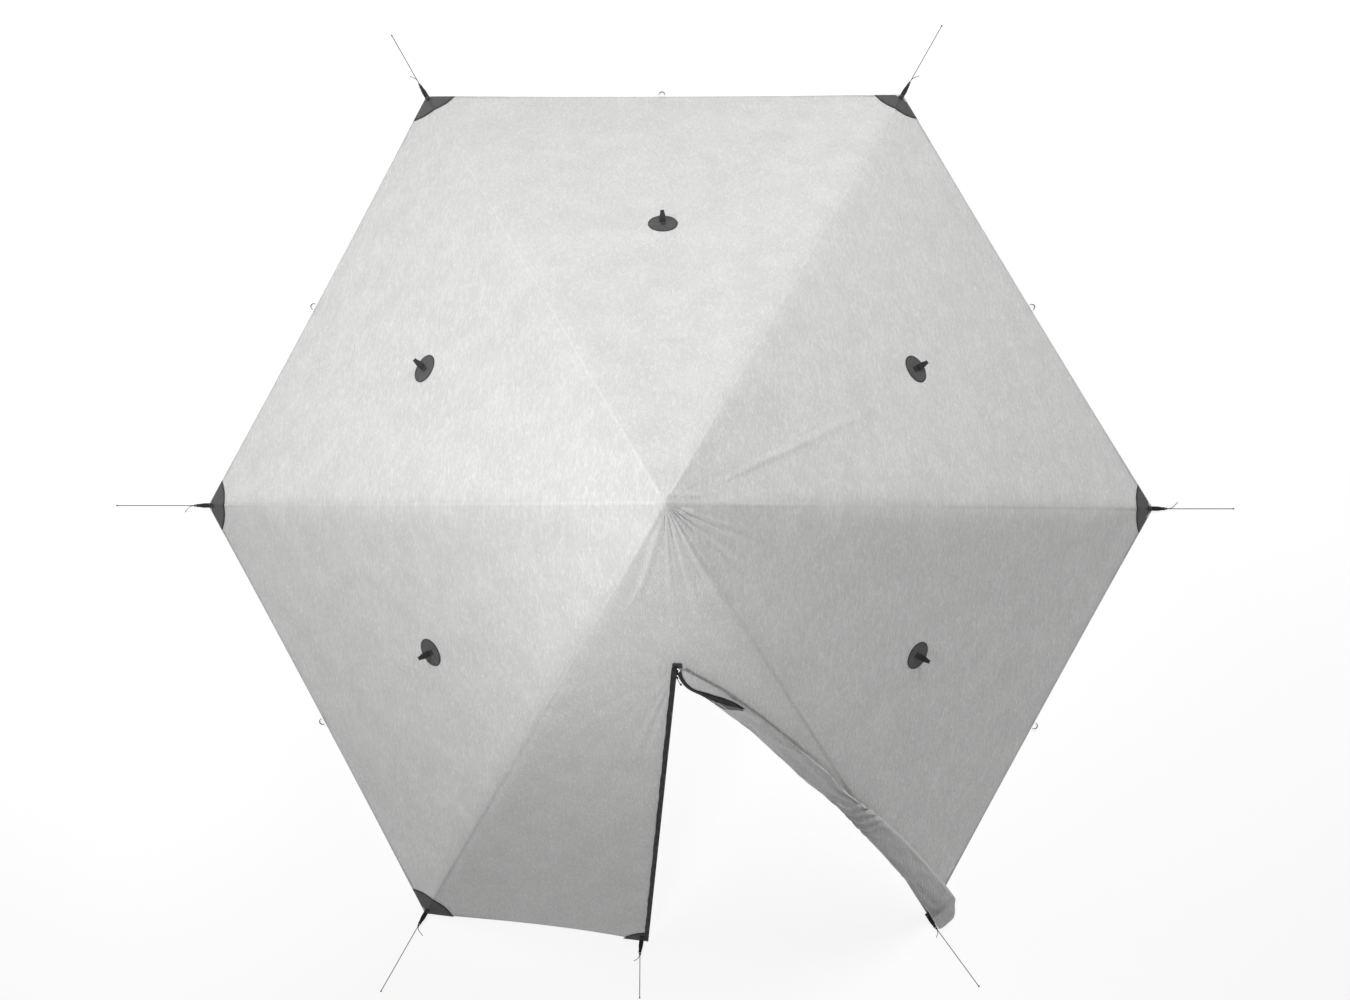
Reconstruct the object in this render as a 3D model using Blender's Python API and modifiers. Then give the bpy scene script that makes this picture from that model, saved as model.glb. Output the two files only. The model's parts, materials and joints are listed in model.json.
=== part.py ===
"""A six-sided teepee tent on one centre pole, pitched with its door rolled back.

The tent stands on the plane z = 0 with its pole foot at the origin. The door wall faces -Y, and
+X is to the right of someone who looks at the tent from above with the door towards them.
"""

import math

import bmesh
import bpy
from mathutils import Matrix, Vector

# Overall size, in metres.
CORNER_RADIUS = 1.80
PEAK_HEIGHT = 1.90
PEAK_CAP_HEIGHT = 0.060

# Each corner of the hexagon: its bearing in degrees, how far its stake was driven from the true
# hexagon, and the reach of its guyline past the corner with the line's own bearing.
CORNERS = {
    "right": (0.0, (0.044, -0.025), 0.306, 0.0),
    "rear_right": (60.0, (-0.007, -0.009), 0.300, 60.5),
    "rear_left": (120.0, (-0.019, -0.015), 0.265, 119.5),
    "left": (180.0, (0.052, -0.013), 0.347, 180.0),
    "front_left": (240.0, (-0.023, -0.007), 0.339, 240.3),
    "front_right": (300.0, (0.093, -0.020), 0.324, 306.3),
}
# Each plain wall: the corners at the two ends of its hem, anticlockwise seen from above, the
# bearing of its pull-out strap, and how far its hem loop and pull-out lie past the hem's middle.
WALLS = {
    "rear": ("rear_right", "rear_left", 94.5, 0.010),
    "rear_left": ("rear_left", "left", 132.5, 0.026),
    "front_left": ("left", "front_left", 208.0, 0.050),
    "front_right": ("front_right", "right", -30.3, -0.055),
    "rear_right": ("right", "rear_right", 31.2, -0.026),
}

# The door's foot: its share of the line between the two front corners, how far it stands out from
# that line, and the reach and bearing of its guyline.
DOOR_FOOT_SHARE = 0.4424
DOOR_FOOT_OUT = 0.1005
DOOR_GUY_REACH = 0.216
DOOR_GUY_BEARING = 269.6
# The top of the zip: its height, and how far it lies to the right of the line up from the foot.
ZIP_TOP_HEIGHT = 1.354
ZIP_TOP_SHIFT = 0.055
# The edge that the door folds over: its bow, how far down the edge the widest point sits, and how
# full the bow is towards its two ends.
DOOR_EDGE_BOW = 0.060
BOW_SKEW = 1.2
BOW_FULLNESS = 0.6
# Where the right front panel stops: its share of that edge, and the most that its bow takes of
# the way to the ridge.
PANEL_EDGE_END = 0.90
PANEL_BOW_LIMIT = 0.7
PANEL_EDGE_POINTS = 12

# Thicknesses of the fabric pieces, and the clearance that touching pieces keep.
WALL_THICKNESS = 0.0012
PATCH_THICKNESS = 0.0008
CLEARANCE = 0.0003

# Corner patches and pull-out patches.
PATCH_ALONG_HEM = 0.107
PATCH_UP_RIDGE = 0.116
DOOR_PATCH_ALONG_HEM = 0.084
DOOR_PATCH_UP_ZIP = 0.078
PATCH_STEPS = 6
PATCH_ROUNDNESS = 0.9
PULL_OUT_HEIGHT = 0.763
PULL_OUT_PATCH_RADIUS = 0.052

# Webbing of the stake loops, the pull-outs and the hem loops.
WEB_WIDTH = 0.017
WEB_THICKNESS = 0.0024
EYE_RADIUS = 0.0045
EYE_TO_END = 0.0095
STAKE_TAB_LENGTH = 0.036
STAKE_LOOP_REACH = 0.044
PULL_TAB_LENGTH = 0.022
PULL_LOOP_LENGTH = 0.055
PULL_LOOP_DROOP = 25.0
HEM_LOOP_RADIUS = 0.0125
HEM_LOOP_BAND = 0.0022
HEM_LOOP_HEIGHT = 0.010

# Guylines.
CORD_DIAMETER = 0.0028
CORD_STEP = 3.0
# Hand-chosen route of each guyline: share of its length, height of its centre above the ground.
GUY_ROUTE = [(0.0, 0.0022), (0.10, 0.0018), (0.30, 0.0016), (0.65, 0.0016), (1.0, 0.0016)]

# Zip.
ZIP_START = 0.004
TAPE_WIDTH = 0.0145
TAPE_THICKNESS = 0.0009
COIL_RADIUS = 0.0014
ZIP_FOOT_MARGIN = 0.030
SLIDER_LENGTH = 0.016
SLIDER_PLATE = 0.0021
SLIDER_REST = 0.024
SLIDER_OVER_TAPE = 0.0062
SLIDER_POST = 0.0030
BAIL_THICKNESS = 0.0020
BAIL_WALL = 0.0014
BAIL_HOLE_RADIUS = 0.0016
PULL_CORD_RADIUS = 0.0009
PULL_CORD_LENGTH = 0.042
PULL_EYE_LENGTH = 0.019
PULL_KNOT_RADIUS = 0.0026
PULL_TAIL_RADIUS = 0.0010
# The stay above the zip.
STAY_WIDTH = 0.040
STAY_TOP_WIDTH = 0.0336
STAY_HEIGHT = 0.016
STAY_TO_ZIP = 0.002

# Rolled door.
ROLL_WIDTH = 0.110
ROLL_THICKNESS = 0.024
ROLL_FOOT_MARGIN = 0.060
# Share of the hinge line, and the shares of the full width and thickness there. The tie draws
# the roll in at its middle.
ROLL_STATIONS = [(0.03, 0.22, 0.35), (0.10, 0.40, 0.45), (0.14, 0.46, 0.55), (0.23, 0.58, 0.65),
                 (0.38, 0.68, 0.80), (0.44, 0.74, 0.85), (0.49, 0.62, 0.80), (0.56, 0.74, 0.88),
                 (0.63, 0.90, 0.95), (0.73, 0.96, 1.0), (0.85, 1.0, 1.0)]
ROLL_SIDES = 6
# The zip tape on the roll, and the facing beside it: share of the hinge line, share of the width.
ROLL_TAPE_PATH = [(0.066, 0.14), (0.095, 0.26), (0.118, 0.60), (0.138, 0.86)]
ROLL_FACING_PATH = [(0.104, 0.06), (0.120, 0.32), (0.138, 0.56)]
ROLL_FACING_WIDTH = 0.011
TIE_STATION = 0.49
TIE_WIDTH = 0.014
TIE_THICKNESS = 0.0010

# Pole.
POLE_LOWER_RADIUS = 0.0100
POLE_WALL = 0.0012
POLE_LOWER_TOP = 1.020
POLE_UPPER_FOOT = 0.900
FOOT_RADIUS = 0.0165
FOOT_HEIGHT = 0.036
FOOT_SOLE = 0.008
FOOT_RIM = 0.002
CUP_WALL = 0.0045
CUP_DEPTH = 0.030
CUP_ROOF = 0.006
COLLAR_WALL = 0.0045
COLLAR_HEIGHT = 0.030
PIN_RADIUS = 0.0020
PIN_LENGTH = 0.0284
HUB_RADIUS = 0.0050
HUB_GAP = 0.0010
LUG_HEIGHT = 0.0065
LUG_ROOT = 0.002
# The closed lever's arm wraps the collar from one angle to another, and its hub is an arc.
LEVER_START = -18.0
LEVER_END = -125.0
LEVER_THICKNESS = 0.0026
HUB_START = -60.0
HUB_SWEEP = 240.0

UP = Vector((0, 0, 1))
PEAK = Vector((0, 0, PEAK_HEIGHT))


# Scene and materials.

for leftover in list(bpy.data.objects):
    bpy.data.objects.remove(leftover)
PARTS = bpy.data.collections.new("teepee_tent")
CUTTERS = bpy.data.collections.new("cutters")
bpy.context.scene.collection.children.link(PARTS)
bpy.context.scene.collection.children.link(CUTTERS)


def material(name, colour, roughness, metallic=0.0):
    made = bpy.data.materials.new(name)
    made.use_nodes = True
    shader = made.node_tree.nodes["Principled BSDF"]
    shader.inputs["Base Color"].default_value = (*colour, 1.0)
    shader.inputs["Roughness"].default_value = roughness
    shader.inputs["Metallic"].default_value = metallic
    return made


LAMINATE = material("laminate", (0.74, 0.74, 0.73), 0.45)
PATCH_FABRIC = material("patch_fabric", (0.055, 0.055, 0.057), 0.60)
WEBBING = material("webbing", (0.012, 0.012, 0.013), 0.80)
CORD = material("cord", (0.030, 0.030, 0.032), 0.75)
ZIP_TAPE = material("zip_tape", (0.010, 0.010, 0.011), 0.70)
ZIP_NYLON = material("zip_nylon", (0.020, 0.020, 0.021), 0.40)
SLIDER_METAL = material("slider_metal", (0.05, 0.05, 0.05), 0.35, 0.9)
ALLOY = material("alloy", (0.62, 0.63, 0.64), 0.30, 1.0)
CLAMP_PLASTIC = material("clamp_plastic", (0.020, 0.020, 0.022), 0.50)
RUBBER = material("rubber", (0.018, 0.018, 0.018), 0.85)


# Shared ways of making a piece.


def add_object(name, data, finish, frame=None):
    """A new object of the tent, with its material, placed by a matrix."""
    made = bpy.data.objects.new(name, data)
    PARTS.objects.link(made)
    data.materials.append(finish)
    if frame is not None:
        made.matrix_world = frame
    return made


def frame_at(origin, along, outward):
    """A matrix at origin with X along a direction and Z as near outward as that allows."""
    x = along.normalized()
    z = (outward - outward.dot(x) * x).normalized()
    turned = Matrix((x, z.cross(x), z)).transposed().to_4x4()
    return Matrix.Translation(origin) @ turned


def outline_curve(name, outlines, thickness):
    """A flat plate as a 2D curve: the first outline is its edge, and the others are holes."""
    curve = bpy.data.curves.new(name, "CURVE")
    curve.dimensions = "2D"
    curve.fill_mode = "BOTH"
    curve.extrude = thickness / 2
    for outline in outlines:
        spline = curve.splines.new("POLY")
        spline.points.add(len(outline) - 1)
        spline.use_cyclic_u = True
        for point, (x, y) in zip(spline.points, outline):
            point.co = (x, y, 0, 1)
    return curve


def plate(name, outlines, thickness, frame, finish):
    """A plate whose face is in the frame's XY plane and whose back is behind it."""
    behind = Matrix.Translation((0, 0, -thickness / 2))
    return add_object(name, outline_curve(name, outlines, thickness), finish, frame @ behind)


def as_mesh(obj):
    """The curve object made a mesh object of the same name, place and material."""
    graph = bpy.context.evaluated_depsgraph_get()
    mesh = bpy.data.meshes.new_from_object(obj.evaluated_get(graph), depsgraph=graph)
    shape = bmesh.new()
    shape.from_mesh(mesh)
    bmesh.ops.remove_doubles(shape, verts=shape.verts, dist=1e-6)
    shape.to_mesh(mesh)
    shape.free()
    name, place = obj.name, obj.matrix_world.copy()
    bpy.data.objects.remove(obj)
    made = bpy.data.objects.new(name, mesh)
    PARTS.objects.link(made)
    made.matrix_world = place
    return made


def hand_mesh(name, points, faces, finish):
    """A mesh object from world-space points and faces, for lofts and folded shells."""
    mesh = bpy.data.meshes.new(name)
    mesh.from_pydata([tuple(point) for point in points], [], faces)
    mesh.validate()
    shape = bmesh.new()
    shape.from_mesh(mesh)
    bmesh.ops.recalc_face_normals(shape, faces=shape.faces)
    shape.to_mesh(mesh)
    shape.free()
    return add_object(name, mesh, finish)


def loft(name, sections, finish):
    """A closed solid through sections that all have the same number of points."""
    sides = len(sections[0])
    points = [point for section in sections for point in section]
    faces = [list(range(sides)), list(range(len(points) - sides, len(points)))]
    for row in range(len(sections) - 1):
        for side in range(sides):
            after = (side + 1) % sides
            low, high = row * sides, (row + 1) * sides
            faces.append([low + side, low + after, high + after, high + side])
    return hand_mesh(name, points, faces, finish)


def cylinder_cutter(name, radius, length, frame, segments=24):
    """A round cutter centred on the frame's origin, along its Z."""
    shape = bmesh.new()
    bmesh.ops.create_cone(shape, cap_ends=True, segments=segments, radius1=radius,
                          radius2=radius, depth=length)
    return cutter_object(name, shape, frame)


def box_cutter(name, size, frame):
    shape = bmesh.new()
    bmesh.ops.create_cube(shape, size=1.0)
    bmesh.ops.scale(shape, vec=size, verts=shape.verts)
    return cutter_object(name, shape, frame)


def cutter_object(name, shape, frame):
    mesh = bpy.data.meshes.new(name)
    shape.to_mesh(mesh)
    shape.free()
    made = bpy.data.objects.new(name, mesh)
    CUTTERS.objects.link(made)
    made.matrix_world = frame
    made.hide_render = True
    made.display_type = "WIRE"
    return made


def combine(obj, other, operation):
    step = obj.modifiers.new(other.name, "BOOLEAN")
    step.operation = operation
    step.object = other


def turned(name, profile, finish, height=0.0, segments=32):
    """A turned piece: a profile of (radius, z) points, swept once about the pole's axis.

    The profile runs down its outer side, so the faces point out.
    """
    mesh = bpy.data.meshes.new(name)
    count = len(profile)
    edges = [(i, (i + 1) % count) for i in range(count)]
    mesh.from_pydata([(radius, 0, z) for radius, z in profile], edges, [])
    made = add_object(name, mesh, finish, Matrix.Translation((0, 0, height)))
    screw = made.modifiers.new("turn", "SCREW")
    screw.steps = screw.render_steps = segments
    screw.use_merge_vertices = True
    screw.merge_threshold = 0.00001
    screw.use_smooth_shade = True
    return made


def tube(name, path, radius, finish, cyclic=False, sides=2):
    """A tube along world-space points."""
    curve = bpy.data.curves.new(name, "CURVE")
    curve.dimensions = "3D"
    curve.bevel_depth = radius
    curve.bevel_resolution = sides
    curve.use_fill_caps = not cyclic
    spline = curve.splines.new("POLY")
    spline.points.add(len(path) - 1)
    spline.use_cyclic_u = cyclic
    for point, place in zip(spline.points, path):
        point.co = (*place, 1)
    return add_object(name, curve, finish)


def bearing(degrees):
    angle = math.radians(degrees)
    return Vector((math.cos(angle), math.sin(angle), 0))


def ring(radius, count, centre=(0.0, 0.0), start=0.0, sweep=360.0):
    """Points of a circle, or of an arc when sweep is under a full turn."""
    full = sweep >= 360.0
    steps = count if full else count - 1
    angles = [math.radians(start + sweep * i / steps) for i in range(count)]
    return [(centre[0] + radius * math.cos(a), centre[1] + radius * math.sin(a)) for a in angles]


# Key points of the pitched tent.


def corner_point(name):
    degrees, shift, _, _ = CORNERS[name]
    return bearing(degrees) * CORNER_RADIUS + Vector((*shift, 0))


def towards_peak(point, height):
    """Where the line from a point to the peak reaches a height."""
    share = (height - point.z) / (PEAK_HEIGHT - point.z)
    return point.lerp(PEAK, share)


CORNER = {name: corner_point(name) for name in CORNERS}
FRONT_LEFT = CORNER["front_left"]
FRONT_RIGHT = CORNER["front_right"]
FRONT_OUT = (FRONT_RIGHT - FRONT_LEFT).cross(UP).normalized()
DOOR = FRONT_LEFT.lerp(FRONT_RIGHT, DOOR_FOOT_SHARE) + FRONT_OUT * DOOR_FOOT_OUT
ZIP_TOP = DOOR.lerp(PEAK, ZIP_TOP_HEIGHT / PEAK_HEIGHT)
ZIP_TOP += (DOOR - FRONT_LEFT).normalized() * ZIP_TOP_SHIFT
CAP_FOOT = PEAK_HEIGHT - PEAK_CAP_HEIGHT


def outward_normal(a, b, c):
    """The unit normal of a wall, pointing away from the inside of the tent."""
    normal = (b - a).cross(c - a).normalized()
    return normal if normal.z > 0 else -normal


WALL_NORMAL = {name: outward_normal(CORNER[a], CORNER[b], PEAK)
               for name, (a, b, _, _) in WALLS.items()}
LEFT_PANEL_NORMAL = outward_normal(FRONT_LEFT, DOOR, PEAK)
RIGHT_PANEL_NORMAL = outward_normal(ZIP_TOP, FRONT_RIGHT, PEAK)
# The normals of the two walls that meet at each corner.
CORNER_NORMALS = {
    "right": (WALL_NORMAL["front_right"], WALL_NORMAL["rear_right"]),
    "rear_right": (WALL_NORMAL["rear_right"], WALL_NORMAL["rear"]),
    "rear_left": (WALL_NORMAL["rear"], WALL_NORMAL["rear_left"]),
    "left": (WALL_NORMAL["rear_left"], WALL_NORMAL["front_left"]),
    "front_left": (WALL_NORMAL["front_left"], LEFT_PANEL_NORMAL),
    "front_right": (RIGHT_PANEL_NORMAL, WALL_NORMAL["front_right"]),
}


def mitre_trim(first, second):
    """How far two wall plates stop short of their ridge so that their backs stay clear."""
    half = first.angle(second) / 2
    return WALL_THICKNESS * math.tan(half) + CLEARANCE / 2


def hem_trim(normal):
    """How far up the slope a plate starts, so that its back edge stands on the ground."""
    return WALL_THICKNESS * normal.z / math.sqrt(1 - normal.z ** 2)


# Walls and front panels: flat plates of laminate, one for each panel of fabric.


def inset_outline(corners, margins):
    """The polygon moved inwards, each edge by its own margin. Corners run anticlockwise."""
    count = len(corners)
    lines = []
    for i in range(count):
        a, b = Vector(corners[i]), Vector(corners[(i + 1) % count])
        along = (b - a).normalized()
        inward = Vector((-along.y, along.x))
        lines.append((a + inward * margins[i], along))
    moved = []
    for i in range(count):
        (p, d), (q, e) = lines[i - 1], lines[i]
        across = d.x * e.y - d.y * e.x
        share = ((q.x - p.x) * e.y - (q.y - p.y) * e.x) / across
        moved.append(tuple(p + d * share))
    return moved


def in_frame(frame, points):
    back = frame.inverted()
    return [tuple((back @ point).xy) for point in points]


def wall_panel(name, points, margins, normal):
    """A wall plate from its corners, given anticlockwise from outside, first along its hem."""
    frame = frame_at(points[0], points[1] - points[0], normal)
    outline = inset_outline(in_frame(frame, points), margins)
    return plate(name, [outline], WALL_THICKNESS, frame, LAMINATE)


RIDGE_TRIM = {name: mitre_trim(*pair) for name, pair in CORNER_NORMALS.items()}

for wall, (first, last, _, _) in WALLS.items():
    foot, far_foot = CORNER[first], CORNER[last]
    wall_panel(
        "wall_" + wall,
        [foot, far_foot, towards_peak(far_foot, CAP_FOOT), towards_peak(foot, CAP_FOOT)],
        [hem_trim(WALL_NORMAL[wall]), RIDGE_TRIM[last], CLEARANCE, RIDGE_TRIM[first]],
        WALL_NORMAL[wall],
    )

SEAM_TRIM = mitre_trim(LEFT_PANEL_NORMAL, RIGHT_PANEL_NORMAL)
SEAM_TOP = towards_peak(ZIP_TOP, CAP_FOOT)
ZIP_EDGE = TAPE_WIDTH + COIL_RADIUS + 2 * CLEARANCE

wall_panel(
    "front_panel_left",
    [FRONT_LEFT, DOOR, ZIP_TOP, SEAM_TOP, towards_peak(FRONT_LEFT, CAP_FOOT)],
    [hem_trim(LEFT_PANEL_NORMAL), ZIP_EDGE, SEAM_TRIM, CLEARANCE, RIDGE_TRIM["front_left"]],
    LEFT_PANEL_NORMAL,
)

# The hinge line of the door, where the flap folds back over the right front panel.
HINGE = FRONT_RIGHT - ZIP_TOP
HINGE_LENGTH = HINGE.length
HINGE_ALONG = HINGE.normalized()
HINGE_ACROSS = RIGHT_PANEL_NORMAL.cross(HINGE_ALONG)


def edge_bow(share):
    """How far the door's edge bows into the panel at a share of the hinge line."""
    wave = max(math.sin(math.pi * share ** BOW_SKEW), 0.0)
    return DOOR_EDGE_BOW * wave ** BOW_FULLNESS


def on_hinge(share, across, off):
    """A point by its share of the hinge line, its distance into the panel and off its face."""
    return ZIP_TOP + HINGE * share + HINGE_ACROSS * across + RIGHT_PANEL_NORMAL * off


def to_ridge(share):
    """The distance from the hinge line to the front right ridge, at a share of the line."""
    to_peak = PEAK - FRONT_RIGHT
    along = to_peak.dot(-HINGE_ALONG)
    return (1 - share) * HINGE_LENGTH * to_peak.dot(HINGE_ACROSS) / along


def front_panel_right():
    """The upper right front panel, down to the bowed edge that the door folds over."""
    edge = []
    for i in range(PANEL_EDGE_POINTS):
        share = PANEL_EDGE_END * i / (PANEL_EDGE_POINTS - 1)
        bow = min(edge_bow(share), PANEL_BOW_LIMIT * to_ridge(share))
        edge.append(on_hinge(share, bow, 0))
    side = on_hinge(PANEL_EDGE_END, to_ridge(PANEL_EDGE_END), 0)
    corners = edge + [side, towards_peak(FRONT_RIGHT, CAP_FOOT), SEAM_TOP]
    margins = [0.0] * len(edge) + [RIDGE_TRIM["front_right"], CLEARANCE, SEAM_TRIM]
    frame = frame_at(ZIP_TOP, HINGE, RIGHT_PANEL_NORMAL)
    outline = inset_outline(in_frame(frame, corners), margins)
    return plate("front_panel_right", [outline], WALL_THICKNESS, frame, LAMINATE)


front_panel_right()


def peak_cap():
    """The peak reinforcement: it closes the top of the pyramid above the panels."""
    base = [towards_peak(CORNER[name], CAP_FOOT + CLEARANCE) for name in CORNERS]
    base.insert(list(CORNERS).index("front_right"), towards_peak(ZIP_TOP, CAP_FOOT + CLEARANCE))
    faces = [list(range(len(base)))]
    for i in range(len(base)):
        faces.append([i, (i + 1) % len(base), len(base)])
    hand_mesh("peak_cap", base + [PEAK], faces, LAMINATE)


peak_cap()


# Corner patches: a shell folded over the ridge, or a flat one where only one wall has it.

HEM_RING = ["right", "rear_right", "rear_left", "left", "front_left", "door", "front_right"]
HEM_POINT = {**CORNER, "door": DOOR}


def patch_edge(corner, hem_end, side_end, along_hem, up_side):
    """Points of a patch's inner edge on one wall, from its tip on the hem to its other side.

    They follow a quarter of an ellipse whose half-axes are the two sides of the patch.
    """
    hem, side = (hem_end - corner).normalized(), (side_end - corner).normalized()
    points = []
    for i in range(PATCH_STEPS + 1):
        turn = math.pi / 2 * i / PATCH_STEPS
        along = along_hem * max(math.cos(turn), 0.0) ** PATCH_ROUNDNESS
        points.append(corner + hem * along + side * up_side * math.sin(turn) ** PATCH_ROUNDNESS)
    return points


def patch_shell(name, points, faces):
    """A patch from the surface that it lies on, made solid on its outer side."""
    made = hand_mesh(name, points, faces, PATCH_FABRIC)
    if made.data.polygons[0].normal.z < 0:
        made.data.flip_normals()
    solid = made.modifiers.new("thickness", "SOLIDIFY")
    solid.thickness = PATCH_THICKNESS
    solid.offset = 1
    solid.use_even_offset = True


def folded_patch(name):
    """A patch on the two walls that meet at a corner."""
    corner, place = CORNER[name], HEM_RING.index(name)
    before = HEM_POINT[HEM_RING[place - 1]]
    after = HEM_POINT[HEM_RING[(place + 1) % len(HEM_RING)]]
    first, second = CORNER_NORMALS[name]
    off_ridge = (first + second) / (1 + first.dot(second)) * CLEARANCE
    near = patch_edge(corner, before, PEAK, PATCH_ALONG_HEM, PATCH_UP_RIDGE)
    far = patch_edge(corner, after, PEAK, PATCH_ALONG_HEM, PATCH_UP_RIDGE)
    points = [corner + off_ridge, near[-1] + off_ridge]
    points += [point + first * CLEARANCE for point in near[:-1]]
    points += [point + second * CLEARANCE for point in far[:-1]]
    one = list(range(2, 2 + PATCH_STEPS))
    other = [i + PATCH_STEPS for i in one]
    patch_shell("patch_" + name, points, [[0, *one, 1], [1, *reversed(other), 0]])


def flat_patch(name, corner, hem_end, side_end, along_hem, up_side, normal):
    """A patch on one wall only."""
    edge = patch_edge(corner, hem_end, side_end, along_hem, up_side)
    points = [point + normal * CLEARANCE for point in [corner, *edge]]
    patch_shell("patch_" + name, points, [list(range(len(points)))])


for name in CORNERS:
    if name != "front_right":
        folded_patch(name)

flat_patch("front_right", FRONT_RIGHT, CORNER["right"], PEAK, PATCH_ALONG_HEM, PATCH_UP_RIDGE,
           WALL_NORMAL["front_right"])

DOOR_HEM = (DOOR - FRONT_LEFT).normalized()
ZIP_DOWN = (DOOR - ZIP_TOP).normalized()
DOOR_CORNER = DOOR - DOOR_HEM * ZIP_EDGE / math.sin(DOOR_HEM.angle(ZIP_DOWN))
flat_patch("door", DOOR_CORNER, FRONT_LEFT, DOOR_CORNER - ZIP_DOWN, DOOR_PATCH_ALONG_HEM,
           DOOR_PATCH_UP_ZIP, LEFT_PANEL_NORMAL)


# Webbing straps: each is sewn down at one end and has an eye at the other.


def strap(name, origin, along, up, tab_slope, tab_length, free_slope, free_length):
    """A bent strap with an eye, in the plane of the two directions along and up.

    Slopes are degrees that the strap falls as it goes along. origin is the point under its bend.
    """
    frame = frame_at(origin, along, along.cross(up))
    tab, free = (Vector((math.cos(a), -math.sin(a)))
                 for a in (math.radians(tab_slope), math.radians(free_slope)))
    bend = (tab + free).normalized()
    over = Vector((-bend.y, bend.x)) * WEB_THICKNESS / bend.dot(free)
    end = free * free_length
    above = Vector((-free.y, free.x)) * WEB_THICKNESS
    start = -tab * tab_length
    behind = Vector((-tab.y, tab.x)) * WEB_THICKNESS
    profile = [start, Vector((0, 0)), end, end + above, over, start + behind]
    curve = outline_curve(name, [[tuple(point) for point in profile]], WEB_WIDTH)
    made = as_mesh(add_object(name, curve, WEBBING, frame))
    eye = free * (free_length - EYE_TO_END) + above / 2
    place = frame @ Vector((eye.x, eye.y, 0))
    normal = frame.to_3x3() @ Vector((above.x, above.y, 0))
    hole = cylinder_cutter(name + "_eye", EYE_RADIUS, 4 * WEB_THICKNESS,
                           frame_at(place, frame.to_3x3().col[2], normal))
    combine(made, hole, "DIFFERENCE")


def stake_loop(name, corner, heading, lifted, slope):
    """The strap at a corner: its tab climbs the corner's patch, and its eye lies on the ground.

    lifted is how far the patch's outer face stands off the line that climbs from the corner.
    """
    angle = math.radians(slope)
    off = lifted + CLEARANCE
    # The tab's underside meets the height of the free end's underside at the bend.
    back = (CLEARANCE - off * math.cos(angle)) / math.sin(angle)
    bend = heading * (off * math.sin(angle) - back * math.cos(angle)) + UP * CLEARANCE
    reach = STAKE_LOOP_REACH - bend.dot(heading)
    strap("stake_loop_" + name, corner + bend, heading, UP, slope, STAKE_TAB_LENGTH, 0.0, reach)
    return corner + heading * STAKE_LOOP_REACH


STAKE_END = {}
for name, corner in CORNER.items():
    first, second = CORNER_NORMALS[name]
    half = first.angle(second) / 2
    stand_off = (CLEARANCE + PATCH_THICKNESS) / math.cos(half)
    ridge_slope = math.degrees(math.atan2(PEAK_HEIGHT, corner.xy.length))
    STAKE_END[name] = stake_loop(name, corner, corner.normalized(), stand_off, ridge_slope)

DOOR_STRAP_FOOT = DOOR_CORNER - DOOR_HEM * (WEB_WIDTH / 2 + CLEARANCE)
door_heading = Vector((LEFT_PANEL_NORMAL.x, LEFT_PANEL_NORMAL.y, 0)).normalized()
panel_slope = math.degrees(LEFT_PANEL_NORMAL.angle(UP))
STAKE_END["door"] = stake_loop("door", DOOR_STRAP_FOOT, door_heading,
                               CLEARANCE + PATCH_THICKNESS, panel_slope)


# Guylines, each from the eye of its stake loop along the ground.


def smooth_route(points, count):
    """Points along a Catmull-Rom curve through the route's own points."""
    padded = [2 * points[0] - points[1], *points, 2 * points[-1] - points[-2]]
    spans = len(points) - 1
    route = []
    for i in range(count):
        place = spans * i / (count - 1)
        span = min(int(place), spans - 1)
        t = place - span
        a, b, c, d = padded[span:span + 4]
        route.append(0.5 * (2 * b + (c - a) * t + (2 * a - 5 * b + 4 * c - d) * t ** 2
                            + (3 * b - a - 3 * c + d) * t ** 3))
    return route


def guyline(name, anchor, reach, degrees):
    start = STAKE_END[name] + bearing(degrees) * CLEARANCE
    heading = bearing(degrees)
    length = reach - (STAKE_END[name] - anchor).length
    points = [start + heading * length * share + UP * height for share, height in GUY_ROUTE]
    steps = round(length / (CORD_STEP * CORD_DIAMETER)) + 1
    tube("guyline_" + name, smooth_route(points, steps), CORD_DIAMETER / 2, CORD)


for name, (_, _, reach, degrees) in CORNERS.items():
    guyline(name, CORNER[name], reach, degrees)
guyline("door", DOOR_STRAP_FOOT, DOOR_GUY_REACH, DOOR_GUY_BEARING)


# Pull-outs in the middle of each plain wall: a round patch with a strap that hangs off it.


def wall_middle(wall):
    """The place on the hem of a plain wall where its loop is sewn, near the middle."""
    a, b, _, past_middle = WALLS[wall]
    hem = CORNER[b] - CORNER[a]
    return CORNER[a] + hem / 2 + hem.normalized() * past_middle


for wall, (_, _, degrees, _) in WALLS.items():
    normal = WALL_NORMAL[wall]
    centre = towards_peak(wall_middle(wall), PULL_OUT_HEIGHT)
    patch_frame = frame_at(centre + normal * (CLEARANCE + PATCH_THICKNESS), normal.cross(UP),
                           normal)
    plate("pull_out_patch_" + wall, [ring(PULL_OUT_PATCH_RADIUS, 28)], PATCH_THICKNESS,
          patch_frame, PATCH_FABRIC)
    heading = bearing(degrees) - UP * bearing(degrees).dot(normal) / normal.z
    lift = math.degrees(normal.angle(UP)) - PULL_LOOP_DROOP
    stand_off = CLEARANCE + PATCH_THICKNESS + CLEARANCE
    strap("pull_out_loop_" + wall, centre + normal * stand_off, heading.normalized(), normal,
          0.0, PULL_TAB_LENGTH, -lift, PULL_LOOP_LENGTH)


# Hem loops: a band of webbing on edge at the middle of each plain wall's hem.

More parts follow.
